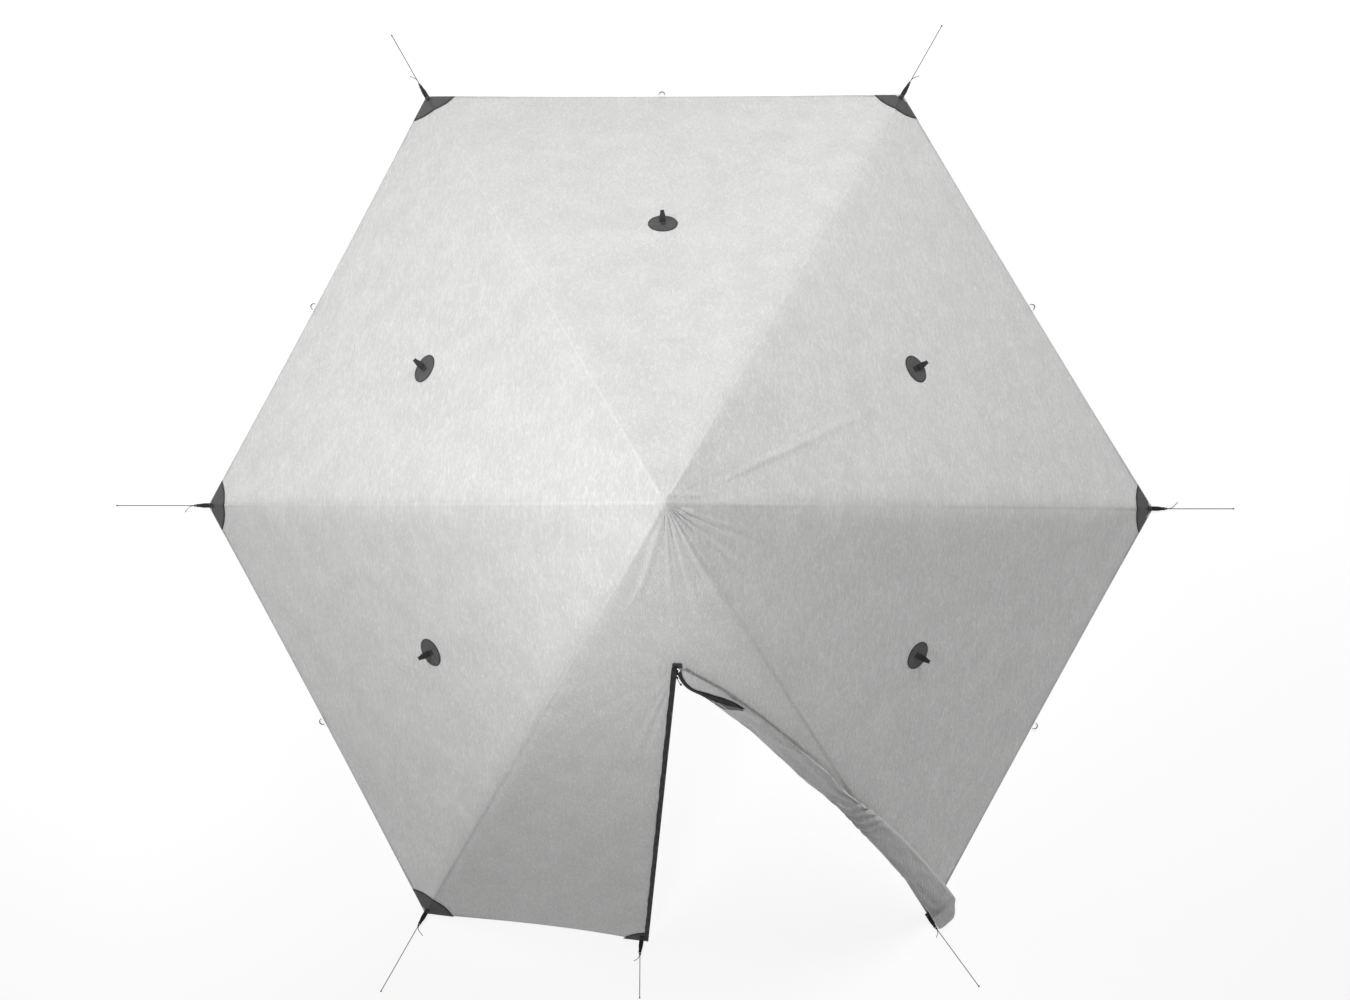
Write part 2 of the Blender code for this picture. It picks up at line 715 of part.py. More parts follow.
for wall in WALLS:
    normal = WALL_NORMAL[wall]
    level = Vector((normal.x, normal.y, 0)).normalized()
    outer = ring(HEM_LOOP_RADIUS, 15, start=0.0, sweep=180.0)
    inner = ring(HEM_LOOP_RADIUS - HEM_LOOP_BAND, 15, start=180.0, sweep=-180.0)
    top = UP * (HEM_LOOP_HEIGHT + CLEARANCE)
    frame = frame_at(wall_middle(wall) + level * CLEARANCE + top, level.cross(UP), UP)
    plate("hem_loop_" + wall, [outer + inner], HEM_LOOP_HEIGHT, frame, WEBBING)


# Zip: the left tape and its coil stay on the left panel, and the slider runs down them.

MID_WALL = -WALL_THICKNESS / 2
ZIP_END = (DOOR - ZIP_TOP).length - ZIP_FOOT_MARGIN
# X runs down the zip, Y towards the doorway, Z out of the panel, on the middle of its thickness.
ZIP_FRAME = frame_at(ZIP_TOP + LEFT_PANEL_NORMAL * MID_WALL, ZIP_DOWN, LEFT_PANEL_NORMAL)
near = -COIL_RADIUS - CLEARANCE
far = near - TAPE_WIDTH
plate("zip_tape_left", [[(ZIP_START, far), (ZIP_END, far), (ZIP_END, near), (ZIP_START, near)]],
      TAPE_THICKNESS, ZIP_FRAME @ Matrix.Translation((0, 0, TAPE_THICKNESS / 2)), ZIP_TAPE)
tube("zip_coil_left", [ZIP_FRAME @ Vector((ZIP_START, 0, 0)), ZIP_FRAME @ Vector((ZIP_END, 0, 0))],
     COIL_RADIUS, ZIP_NYLON)

# The stay patch above the zip, on the ridge where the two front panels meet.
stay_normal = (LEFT_PANEL_NORMAL + RIGHT_PANEL_NORMAL).normalized()
stay_frame = frame_at(ZIP_TOP + stay_normal * (CLEARANCE + 2 * PATCH_THICKNESS),
                      ZIP_TOP - PEAK, stay_normal)
stay_foot = -STAY_TO_ZIP
stay_top = stay_foot - STAY_HEIGHT
plate("zip_top_stay",
      [[(stay_top, -STAY_TOP_WIDTH / 2), (stay_foot, -STAY_WIDTH / 2),
        (stay_foot, STAY_WIDTH / 2), (stay_top, STAY_TOP_WIDTH / 2)]],
      PATCH_THICKNESS, stay_frame, PATCH_FABRIC)


def zip_slider():
    """The slider: two plates round the coil, joined by a post on the doorway side."""
    half_channel = COIL_RADIUS + 2 * CLEARANCE
    half_body = half_channel + SLIDER_PLATE
    left = -SLIDER_OVER_TAPE
    right = half_channel + SLIDER_POST
    outline = [(left, -half_body), (right, -half_body), (right, half_body), (left, half_body),
               (left, half_channel), (half_channel, half_channel),
               (half_channel, -half_channel), (left, -half_channel)]
    # The outline is in the zip frame's YZ plane, and the extrusion runs down the zip.
    middle = ZIP_FRAME @ Vector((SLIDER_REST, 0, 0))
    turn = ZIP_FRAME.to_3x3()
    frame = frame_at(middle, turn.col[1], turn.col[0])
    body = as_mesh(add_object("zip_slider",
                              outline_curve("zip_slider", [outline], SLIDER_LENGTH),
                              SLIDER_METAL, frame))
    # The bail is an arch on the top plate, with its hole across the zip.
    hole_middle = (0, half_body + PULL_CORD_RADIUS + 2 * CLEARANCE)
    half_bail = BAIL_HOLE_RADIUS + BAIL_WALL
    root = half_body - BAIL_WALL
    arch = ring(half_bail, 13, centre=hole_middle, sweep=180)
    arch += [(-half_bail, root), (half_bail, root)]
    hole = ring(BAIL_HOLE_RADIUS, 12, centre=hole_middle)
    bail_frame = frame_at(middle, turn.col[0], -turn.col[1])
    bail = as_mesh(add_object("bail", outline_curve("bail", [arch, hole], BAIL_THICKNESS),
                              SLIDER_METAL, bail_frame))
    CUTTERS.objects.link(bail)
    PARTS.objects.unlink(bail)
    bail.hide_render = True
    bail.display_type = "WIRE"
    combine(body, bail, "UNION")
    return bail_frame @ Vector((*hole_middle, 0)), turn


def zip_pull(pivot, turn):
    """The pull: a cord loop through the bail, with its knot and tail, lying down the zip."""
    down, across = turn.col[0], turn.col[1]
    half = BAIL_THICKNESS / 2 + 2 * CLEARANCE + PULL_CORD_RADIUS
    path = []
    for x, y in ring(half, 9, centre=(PULL_EYE_LENGTH, 0), start=90, sweep=-180):
        path.append(pivot + down * x + across * y)
    path += [pivot - across * half, pivot + across * half]
    loop = as_mesh(tube("zip_pull", path, PULL_CORD_RADIUS, CORD, cyclic=True))
    knot_shape = bmesh.new()
    bmesh.ops.create_icosphere(knot_shape, subdivisions=2, radius=PULL_KNOT_RADIUS)
    knot_middle = pivot + down * (PULL_EYE_LENGTH + half + PULL_CORD_RADIUS)
    knot = cutter_object("pull_knot", knot_shape, Matrix.Translation(knot_middle))
    combine(loop, knot, "UNION")
    tail_end = pivot + down * PULL_CORD_LENGTH
    tail = cylinder_cutter("pull_tail", PULL_TAIL_RADIUS, (tail_end - knot_middle).length,
                           frame_at((knot_middle + tail_end) / 2, across, down), segments=10)
    combine(loop, tail, "UNION")


zip_pull(*zip_slider())


# Rolled door: the flap folded and rolled back along its hinge line, over the right panel.

ROLL_END = 1 - ROLL_FOOT_MARGIN / HINGE_LENGTH


def between_stations(stations, share):
    """The values at a share of the hinge line, from stations that each hold a share and values."""
    for (a, *before), (b, *after) in zip(stations, stations[1:]):
        if share <= b:
            part = max(share - a, 0) / (b - a)
            return [low + (high - low) * part for low, high in zip(before, after)]
    return stations[-1][1:]


def roll_size(share):
    """Width and thickness of the roll at a share of the hinge line."""
    wide, thick = between_stations([*ROLL_STATIONS, (ROLL_END, 1.0, 1.0)], share)
    return ROLL_WIDTH * wide, ROLL_THICKNESS * thick


def roll_section(share):
    """The roll's flattened section: two half rounds joined by flat faces."""
    width, thick = roll_size(share)
    radius = thick / 2
    low = edge_bow(share) + radius
    points = []
    for centre, start in ((low, 90.0), (low + width - thick, -90.0)):
        for across, off in ring(radius, ROLL_SIDES, centre=(centre, radius), start=start,
                                sweep=180.0):
            points.append(on_hinge(share, across, off + CLEARANCE))
    return points


roll_shares = [share for share, _, _ in ROLL_STATIONS] + [ROLL_END]
loft("rolled_door", [roll_section(share) for share in roll_shares], LAMINATE)


def on_roll(share, part):
    """A point on the roll's outer face, by its share of the hinge line and of the width."""
    width, thick = roll_size(share)
    return edge_bow(share) + width * part, thick + 2 * CLEARANCE


def strip_on_roll(name, path, width, thickness, finish):
    """A strip that follows a path over the roll's outer face, and bends where the roll does."""
    bends = {share for share, _, _ in ROLL_STATIONS if path[0][0] < share < path[-1][0]}
    sections = []
    for share in sorted(bends.union(share for share, _ in path)):
        across, off = on_roll(share, *between_stations(path, share))
        sections.append([on_hinge(share, across - width / 2, off),
                         on_hinge(share, across + width / 2, off),
                         on_hinge(share, across + width / 2, off + thickness),
                         on_hinge(share, across - width / 2, off + thickness)])
    loft(name, sections, finish)


strip_on_roll("zip_tape_right", ROLL_TAPE_PATH, TAPE_WIDTH, TAPE_THICKNESS, ZIP_TAPE)
strip_on_roll("zip_facing", ROLL_FACING_PATH, ROLL_FACING_WIDTH, PATCH_THICKNESS, PATCH_FABRIC)


def door_tie():
    """The tie that holds the roll: a tape over its outer face."""
    sections = []
    for side in (-1, 1):
        share = TIE_STATION + side * TIE_WIDTH / 2 / HINGE_LENGTH
        width, thick = roll_size(share)
        low = edge_bow(share) + thick / 2
        high = edge_bow(share) + width - thick / 2
        off = thick + 2 * CLEARANCE
        top = off + TIE_THICKNESS
        sections.append([on_hinge(share, low, off), on_hinge(share, high, off),
                         on_hinge(share, high, top), on_hinge(share, low, top)])
    loft("door_tie", sections, LAMINATE)


door_tie()


# Pole: two telescoping tubes, a foot, a cup under the peak, and a lever clamp.

POLE_UPPER_RADIUS = POLE_LOWER_RADIUS + POLE_WALL + 2 * CLEARANCE
CUP_TOP = CAP_FOOT - CLEARANCE
CUP_FOOT = CUP_TOP - CUP_DEPTH
POLE_TOP = CUP_TOP - CUP_ROOF - CLEARANCE


def pipe(name, radius, low, high):
    inner = radius - POLE_WALL
    turned(name, [(radius, high - low), (radius, 0), (inner, 0), (inner, high - low)], ALLOY, low)


pipe("pole_upper", POLE_UPPER_RADIUS, POLE_UPPER_FOOT, POLE_TOP)
pipe("pole_lower", POLE_LOWER_RADIUS, FOOT_SOLE + CLEARANCE, POLE_LOWER_TOP)

foot_bore = POLE_LOWER_RADIUS + CLEARANCE
turned("pole_foot",
       [(0, FOOT_SOLE), (foot_bore, FOOT_SOLE), (foot_bore, FOOT_HEIGHT),
        (foot_bore + FOOT_RIM, FOOT_HEIGHT), (FOOT_RADIUS, FOOT_SOLE), (FOOT_RADIUS, 0), (0, 0)],
       RUBBER)

cup_bore = POLE_UPPER_RADIUS + CLEARANCE
turned("pole_cup",
       [(0, CUP_DEPTH), (cup_bore + CUP_WALL, CUP_DEPTH), (cup_bore + CUP_WALL, 0), (cup_bore, 0),
        (cup_bore, CUP_DEPTH - CUP_ROOF), (0, CUP_DEPTH - CUP_ROOF)], RUBBER, CUP_FOOT)

# The collar grips the foot of the upper tube and closes on the lower tube.
COLLAR_FOOT = POLE_UPPER_FOOT - COLLAR_HEIGHT / 2
COLLAR_RADIUS = POLE_UPPER_RADIUS + CLEARANCE + COLLAR_WALL
PIN_AT = COLLAR_RADIUS + HUB_RADIUS + HUB_GAP
low_bore = POLE_LOWER_RADIUS + CLEARANCE
high_bore = POLE_UPPER_RADIUS + CLEARANCE
step = COLLAR_HEIGHT / 2 - CLEARANCE
turned("pole_clamp",
       [(COLLAR_RADIUS, COLLAR_HEIGHT), (COLLAR_RADIUS, 0), (low_bore, 0), (low_bore, step),
        (high_bore, step), (high_bore, COLLAR_HEIGHT)], CLAMP_PLASTIC, COLLAR_FOOT)
clamp = bpy.data.objects["pole_clamp"]
lug_root = COLLAR_RADIUS - LUG_ROOT
lug_tip = PIN_AT + HUB_RADIUS
for end, low in (("low", 0.0), ("high", COLLAR_HEIGHT - LUG_HEIGHT)):
    lug_middle = Vector(((lug_root + lug_tip) / 2, 0, COLLAR_FOOT + low + LUG_HEIGHT / 2))
    lug = box_cutter("lug_" + end, (lug_tip - lug_root, 2 * HUB_RADIUS, LUG_HEIGHT),
                     Matrix.Translation(lug_middle))
    combine(clamp, lug, "UNION")
pin_middle = Vector((PIN_AT, 0, COLLAR_FOOT + COLLAR_HEIGHT / 2))
combine(clamp, cylinder_cutter("clamp_pin_hole", PIN_RADIUS + CLEARANCE, 2 * COLLAR_HEIGHT,
                               Matrix.Translation(pin_middle)), "DIFFERENCE")
plate("clamp_pin", [ring(PIN_RADIUS, 16)], PIN_LENGTH,
      Matrix.Translation(pin_middle + UP * PIN_LENGTH / 2), ALLOY)

# The lever's hub turns on the pin between the lugs, and its arm wraps the collar when closed.
lever_height = COLLAR_HEIGHT - 2 * LUG_HEIGHT - 2 * CLEARANCE
arm_inner = COLLAR_RADIUS + 2 * CLEARANCE
arm_outer = arm_inner + LEVER_THICKNESS
hub = ring(HUB_RADIUS, 14, centre=(PIN_AT, 0), start=HUB_START, sweep=HUB_SWEEP)
inner_arc = ring(arm_inner, 16, start=LEVER_START, sweep=LEVER_END - LEVER_START)
outer_arc = ring(arm_outer, 16, start=LEVER_END, sweep=LEVER_START - LEVER_END)
lever_outline = hub + inner_arc[1:] + outer_arc
lever_hole = ring(PIN_RADIUS + CLEARANCE, 16, centre=(PIN_AT, 0))
lever_top = COLLAR_FOOT + COLLAR_HEIGHT - LUG_HEIGHT - CLEARANCE
plate("clamp_lever", [lever_outline, lever_hole], lever_height,
      Matrix.Translation((0, 0, lever_top)), CLAMP_PLASTIC)
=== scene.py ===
import json
import math

import bmesh
import bpy
import numpy as np
from mathutils import Matrix, Vector


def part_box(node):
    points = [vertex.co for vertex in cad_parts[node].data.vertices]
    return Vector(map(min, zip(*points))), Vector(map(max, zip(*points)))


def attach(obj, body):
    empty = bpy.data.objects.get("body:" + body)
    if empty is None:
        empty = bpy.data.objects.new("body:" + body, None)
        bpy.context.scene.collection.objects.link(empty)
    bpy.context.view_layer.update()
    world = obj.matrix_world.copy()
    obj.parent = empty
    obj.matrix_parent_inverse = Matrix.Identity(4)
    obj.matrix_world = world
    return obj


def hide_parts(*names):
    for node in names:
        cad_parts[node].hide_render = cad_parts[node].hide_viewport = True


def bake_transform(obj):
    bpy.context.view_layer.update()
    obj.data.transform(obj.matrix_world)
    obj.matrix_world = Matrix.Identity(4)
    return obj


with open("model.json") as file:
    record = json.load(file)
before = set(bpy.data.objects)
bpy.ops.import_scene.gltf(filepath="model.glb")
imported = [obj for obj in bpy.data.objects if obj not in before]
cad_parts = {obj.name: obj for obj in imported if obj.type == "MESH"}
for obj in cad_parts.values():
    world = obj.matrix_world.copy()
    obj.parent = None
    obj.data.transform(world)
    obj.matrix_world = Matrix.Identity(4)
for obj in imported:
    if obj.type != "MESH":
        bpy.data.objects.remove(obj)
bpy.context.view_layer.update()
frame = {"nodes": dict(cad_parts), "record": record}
record = frame["record"]


# The ground, the light and the eye. The tent stands on a pale glowing floor. Two large soft lamps
# light it from the rear and the left, and a small near one brightens the front of the peak.

EYE_PLACE = (0.0266, 0.0076, 6.0)
EYE_LENS = 42.05
EYE_FILM_WIDTH = 36.0
# Place, the point that it faces, width, power in watts, and spread in degrees.
LAMPS = {
    "rear_lamp": ((1.9, 4.0, 4.2), (0.0, 0.0, 0.7), 2.2, 176.0, 180),
    "left_lamp": ((-3.2, 1.6, 2.8), (0.0, 0.0, 0.9), 1.6, 72.0, 180),
    "peak_lamp": ((-0.75, -1.05, 3.1), (0.0, -0.1, 1.5), 0.9, 12.0, 130),
}
SKY_STRENGTH = 0.10
FLOOR_REACH = 400.0
FLOOR_LEVEL = -0.001
FLOOR_COLOUR = (0.93, 0.93, 0.93, 1.0)
FLOOR_GLOW = 1.29
FLOOR_GLOW_SHARE = 0.64


def plain_node_material(name):
    """An empty node material with its output, ready for shaders."""
    made = bpy.data.materials.new(name)
    made.use_nodes = True
    tree = made.node_tree
    tree.nodes.clear()
    out = tree.nodes.new("ShaderNodeOutputMaterial")
    return made, tree, out


def add_node(tree, kind, given=(), **settings):
    """Adds a node. Each given input takes a plain value, or a link from another node's output."""
    node = tree.nodes.new(kind)
    for key, value in settings.items():
        setattr(node, key, value)
    for key, value in dict(given).items():
        if isinstance(value, bpy.types.NodeSocket):
            tree.links.new(value, node.inputs[key])
        else:
            node.inputs[key].default_value = value
    return node


def arithmetic(tree, operation, *values):
    """The output of a Math node over some values or sockets."""
    return add_node(tree, "ShaderNodeMath", enumerate(values), operation=operation).outputs[0]


def colour_ramp(tree, level, dark, light, low=0.0, high=1.0):
    """The colour that a level picks between a dark one and a light one."""
    ramp = add_node(tree, "ShaderNodeValToRGB", {0: level})
    for stop, place, colour in zip(ramp.color_ramp.elements, (low, high), (dark, light)):
        stop.position = place
        stop.color = (*colour, 1)
    return ramp.outputs[0]


def grain(tree, place, scale, detail, **more):
    """The level of a noise over some coordinates."""
    given = {"Vector": place, "Scale": scale, "Detail": detail, **more}
    return add_node(tree, "ShaderNodeTexNoise", given).outputs["Fac"]


def bumped(tree, height, strength, distance):
    given = {"Height": height, "Strength": strength, "Distance": distance}
    return add_node(tree, "ShaderNodeBump", given).outputs[0]


def principled(tree, out, colour, normal, **more):
    """Closes a material with a Principled shader. Its other inputs are named with underscores."""
    given = {key.replace("_", " "): value for key, value in more.items()}
    given.update({"Base Color": colour, "Normal": normal})
    shader = add_node(tree, "ShaderNodeBsdfPrincipled", given)
    tree.links.new(shader.outputs[0], out.inputs["Surface"])
    return shader.outputs[0]


def in_scene(name, data):
    """A new object of some data, in the scene."""
    made = bpy.data.objects.new(name, data)
    bpy.context.scene.collection.objects.link(made)
    return made


eye = in_scene("eye", bpy.data.cameras.new("eye"))
eye.location = EYE_PLACE
eye.data.lens = EYE_LENS
eye.data.sensor_width = EYE_FILM_WIDTH
bpy.context.scene.camera = eye
bpy.context.scene.view_settings.view_transform = "Standard"

for name, (place, target, size, power, spread) in LAMPS.items():
    lamp = bpy.data.lights.new(name, "AREA")
    lamp.shape = "DISK"
    lamp.size = size
    lamp.energy = power
    lamp.spread = math.radians(spread)
    holder = in_scene(name, lamp)
    holder.location = place
    holder.rotation_euler = (Vector(target) - Vector(place)).to_track_quat("-Z", "Y").to_euler()

world = bpy.data.worlds.new("studio")
bpy.context.scene.world = world
world.use_nodes = True
sky = world.node_tree.nodes["Background"]
sky.inputs["Color"].default_value = (1.0, 1.0, 1.0, 1.0)
sky.inputs["Strength"].default_value = SKY_STRENGTH

floor_finish, floor_tree, floor_out = plain_node_material("studio_floor")
floor_shader = add_node(floor_tree, "ShaderNodeBsdfDiffuse", {"Color": FLOOR_COLOUR})
floor_glow = add_node(floor_tree, "ShaderNodeEmission", {"Strength": FLOOR_GLOW})
floor_mix = add_node(floor_tree, "ShaderNodeMixShader",
                     {0: FLOOR_GLOW_SHARE, 1: floor_shader.outputs[0], 2: floor_glow.outputs[0]})
floor_tree.links.new(floor_mix.outputs[0], floor_out.inputs["Surface"])
floor_mesh = bpy.data.meshes.new("studio_floor")
floor_mesh.from_pydata([(FLOOR_REACH * x, FLOOR_REACH * y, FLOOR_LEVEL)
                        for x, y in ((-1, -1), (1, -1), (1, 1), (-1, 1))], [], [(0, 1, 2, 3)])
floor_mesh.materials.append(floor_finish)
in_scene("studio_floor", floor_mesh)


# The pitch. Six stakes and the pole set the shape: the corners, the foot and the top of the door's
# zip and the edge that the door folds over all come from the frame's mounts and joints.

STRAP_FACE = 0.017

mounts = {mount["name"]: np.array(mount["pos_m"]) for mount in record["mounts"]}
joints = {joint["name"]: joint for joint in record["behaviour"]["joints"]}
CORNER_NAMES = ["right", "rear_right", "rear_left", "left", "front_left", "front_right"]
corner = {}
for name in CORNER_NAMES:
    strap_face = mounts["stake_face_" + name] * (1, 1, 0)
    corner[name] = strap_face * (1 - STRAP_FACE / np.linalg.norm(strap_face))
peak = np.array([0.0, 0.0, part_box("peak_cap")[1].z])
zip_top = np.array(joints["door_roll_swing"]["pos_m"])
zip_down = np.array(joints["zip_run"]["axis"])
door_foot = zip_top - zip_down * zip_top[2] / zip_down[2]


def unit_of(vector):
    return vector / np.linalg.norm(vector)


def level_unit(vector):
    return unit_of(np.asarray(vector, float)[:2])


def level_left(way):
    """The level direction square to a way, to its left."""
    return np.array([-way[1], way[0], 0.0])


def facet(a, b, c):
    """The plane of a panel: its unit normal, facing out, and its distance from the origin."""
    normal = np.cross(b - a, c - a)
    normal *= math.copysign(1 / np.linalg.norm(normal), normal[2])
    return normal, float(normal @ a)


facets = {
    "rear": facet(corner["rear_right"], corner["rear_left"], peak),
    "rear_left": facet(corner["rear_left"], corner["left"], peak),
    "front_left": facet(corner["left"], corner["front_left"], peak),
    "door_left": facet(corner["front_left"], door_foot, peak),
    "door_right": facet(zip_top, corner["front_right"], peak),
    "front_right": facet(corner["front_right"], corner["right"], peak),
    "rear_right": facet(corner["right"], corner["rear_right"], peak),
}
door_normal = facets["door_right"][0]
left_panel_normal = facets["door_left"][0]


# Guylines. Seven thin braided cords, each tied with a small loop and a knot to the webbing at a
# corner, and drawn out along the ground. Each one has a short tail.

UP = np.array([0, 0, 1.0])
CORD_DIAMETER = 0.0028
LOOP_REACH = 0.0085
LOOP_HALF_WIDTH = 0.0046
WRAP_SIZE = (0.0042, 0.0060, 0.0048)
END_KNOT_SIZE = (0.0040, 0.0042, 0.0034)
TAIL_BEND = 0.12
STRAP_REACH = 0.044
STRAP_GAP = 0.0003
# Bearing in degrees, reach from the corner, turn of the tail from the line in degrees, its length.
GUYLINES = {
    "right": (0.0, 0.306, 30, 0.050),
    "rear_right": (60.5, 0.300, -24, 0.044),
    "rear_left": (119.5, 0.265, 20, 0.048),
    "left": (180.0, 0.347, 34, 0.046),
    "front_left": (240.3, 0.339, 52, 0.042),
    "front_right": (306.3, 0.324, -36, 0.034),
    "door": (269.6, 0.216, -42, 0.034),
}
# Share of the length, height of the middle of the cord above the ground.
GUY_ROUTE = [(0.0, 0.0022), (0.10, 0.0018), (0.30, 0.0016), (0.65, 0.0016), (1.0, 0.0016)]


def link_piece(name, mesh, body, finish, stands_for=()):
    """Puts a finished mesh in the scene, riding on a body of the frame when one is given."""
    mesh.materials.append(finish)
    piece = in_scene(name, mesh)
    if body:
        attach(piece, body)
    if stands_for:
        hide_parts(*stands_for)
    return piece


def mesh_from(name, points, faces, uvs=None, smooth=True):
    """A mesh from points and faces, with a UV for each point where they are given."""
    mesh = bpy.data.meshes.new(name)
    mesh.from_pydata(np.asarray(points, float).tolist(), [], [list(map(int, f)) for f in faces])
    if uvs is not None:
        layer = mesh.uv_layers.new(name="UVMap")
        corners = np.empty(len(mesh.loops), np.int32)
        mesh.loops.foreach_get("vertex_index", corners)
        layer.data.foreach_set("uv", np.asarray(uvs, np.float32)[corners].ravel())
    mesh.polygons.foreach_set("use_smooth", [smooth] * len(mesh.polygons))
    mesh.update()
    return mesh


def part_piece(name, parts, body, finish, stands_for=()):
    """A piece from its points, faces and UVs."""
    return link_piece(name, mesh_from(name, *parts), body, finish, stands_for)


def smooth_line(points, count):
    """Evenly shared points along a Catmull-Rom curve through some points."""
    p = np.asarray(points, float)
    padded = np.vstack([2 * p[0] - p[1], p, 2 * p[-1] - p[-2]])
    place = np.linspace(0, len(p) - 1, count)
    span = np.minimum(place.astype(int), len(p) - 2)
    t = (place - span)[:, None]
    a, b, c, d = (padded[span + k] for k in range(4))
    return 0.5 * (2 * b + (c - a) * t + (2 * a - 5 * b + 4 * c - d) * t ** 2
                  + (3 * b - a - 3 * c + d) * t ** 3)


def run_along(line):
    """How far along a line each of its points is."""
    return np.concatenate([[0], np.cumsum(np.linalg.norm(np.diff(line, axis=0), axis=1))])


def tube_parts(line, radii, sides=8):
    """Points, faces and UVs of a round tube along a line, with closed ends."""
    line = np.asarray(line, float)
    count = len(line)
    radii = np.broadcast_to(radii, count)
    tangents = np.gradient(line, axis=0)
    tangents /= np.linalg.norm(tangents, axis=1)[:, None]
    side = np.cross(tangents[0], (0, 0, 1.0))
    if np.linalg.norm(side) < 0.1:
        side = np.cross(tangents[0], (0, 1.0, 0))
    along = run_along(line)
    turn = 2 * np.pi * np.arange(sides) / sides
    points, uvs = [], []
    for i in range(count):
        side = unit_of(side - tangents[i] * (side @ tangents[i]))
        up = np.cross(side, tangents[i])
        ring = np.cos(turn)[:, None] * side + np.sin(turn)[:, None] * up
        points.extend(line[i] + radii[i] * ring)
        uvs.extend([(k / sides, along[i]) for k in range(sides)])
    faces = [[i * sides + k, i * sides + (k + 1) % sides,
              (i + 1) * sides + (k + 1) % sides, (i + 1) * sides + k]
             for i in range(count - 1) for k in range(sides)]
    faces.append(list(range(sides))[::-1])
    faces.append([(count - 1) * sides + k for k in range(sides)])
    return points, faces, uvs


def joined(parts):
    """Several lots of points, faces and UVs as one."""
    points, faces, uvs = [], [], []
    for more_points, more_faces, more_uvs in parts:
        start = len(points)
        points.extend(more_points)
        faces.extend([[start + k for k in face] for face in more_faces])
        uvs.extend(more_uvs)
    return points, faces, uvs


def braided_cord_material(name, dark, light, strands, pitch):
    """A braid of fine strands that cross each other round the cord."""
    made, tree, out = plain_node_material(name)
    place = add_node(tree, "ShaderNodeTexCoord")
    split = add_node(tree, "ShaderNodeSeparateXYZ", {0: place.outputs["UV"]})
    waves = []
    for sense in (1.0, -1.0):
        slant = arithmetic(tree, "MULTIPLY", split.outputs[0], 2 * math.pi * strands * sense)
        turn = arithmetic(tree, "MULTIPLY_ADD", split.outputs[1], 2 * math.pi / pitch, slant)
        waves.append(arithmetic(tree, "SINE", turn))
    higher = arithmetic(tree, "MAXIMUM", *waves)
    principled(tree, out, colour_ramp(tree, higher, dark, light),
               bumped(tree, higher, 0.6, 0.0003), Roughness=0.7, Sheen_Weight=0.2)
    return made


cord_finish = braided_cord_material("guy_braid", (0.012, 0.012, 0.013), (0.05, 0.05, 0.052),
                                    6, 0.0035)


def heading_of(name):
    """The level direction in which the strap at a corner points."""
    if name == "door":
        level = left_panel_normal * (1, 1, 0)
    else:
        level = corner[name]
    return unit_of(level)


def bearing(degrees):
    return np.array([math.cos(math.radians(degrees)), math.sin(math.radians(degrees)), 0.0])


strap_foot = dict(corner)
strap_foot["door"] = mounts["stake_face_door"] * (1, 1, 0) - heading_of("door") * STRAP_FACE


def coil_round(centre, along, side, up, turns, count, size):
    """A tight coil round a line, with its size given along it, across it and up."""
    turn = np.linspace(0, turns * 2 * np.pi, count)
    return [centre + along * size[0] * (t / turn[-1] - 0.5) + side * size[1] / 2 * math.cos(t)
            + up * size[2] / 2 * math.sin(t) for t in turn]


def guyline_knot(name, start, direction, turn, tail_length):
    """The loop through the webbing, two wraps of the knot, and the tail."""
    side = level_left(direction)
    radius = CORD_DIAMETER / 2
    middle = start - direction * 0.0035 + UP * 0.0036
    loop = [middle + direction * LOOP_REACH * math.cos(t) + side * LOOP_HALF_WIDTH * math.sin(t)
            for t in np.linspace(0.12 * np.pi, 1.88 * np.pi, 22)]
    knot = start + direction * 0.0075 + UP * 0.0034
    wraps = coil_round(knot + UP * 0.0006, direction, side, UP, 2.2, 40, WRAP_SIZE)
    way = bearing(math.degrees(math.atan2(direction[1], direction[0])) + turn)
    across = level_left(way)
    bend = math.copysign(TAIL_BEND, turn) * tail_length
    tail = [knot, knot + way * tail_length * 0.35 - across * bend + UP * 0.004,
            knot + way * tail_length * 0.7 - across * bend * 0.6 + UP * 0.001,
            (knot + way * tail_length) * (1, 1, 0) + UP * 0.0020]
    # The tail ends in a small melted bead.
    thickness = [radius * 0.85] * 14 + [radius, radius * 0.9]
    parts = joined([tube_parts(loop, radius, 8), tube_parts(wraps, radius * 0.9, 7),
                    tube_parts(smooth_line(tail, 16), thickness, 7)])
    return part_piece("guyline_knot_" + name, parts, "canopy", cord_finish)


def end_knot(name, end, direction):
    """A small stopper knot at the free end of a guyline."""
    side = level_left(direction)
    line = coil_round(end + UP * 0.0014, direction, side, UP, 1.6, 30, END_KNOT_SIZE)
    return part_piece("guyline_end_" + name, tube_parts(line, CORD_DIAMETER * 0.42, 7), "canopy",
                      cord_finish)


for name, (degrees, reach, turn, tail_length) in GUYLINES.items():
    way = bearing(degrees)
    start = strap_foot[name] + heading_of(name) * STRAP_REACH + way * STRAP_GAP
    length = reach - STRAP_REACH
    route = [start + way * length * share + UP * height for share, height in GUY_ROUTE]
    line = smooth_line(route, 25)
    cord = part_piece("guyline_" + name + "_cord", tube_parts(line, CORD_DIAMETER / 2, 10),
                      "canopy", cord_finish, ["guyline_" + name])
    knots = [guyline_knot(name, start, way, turn, tail_length), end_knot(name, line[-1], way)]


# The canopy: one sheet of translucent laminate, bonded along its ridges. It is drawn tight between
# the stakes and the pole, so it is nearly flat, with small crinkles all over, folds that fan out
# from the peak and from the top of the zip, and long ripples beside its hems.

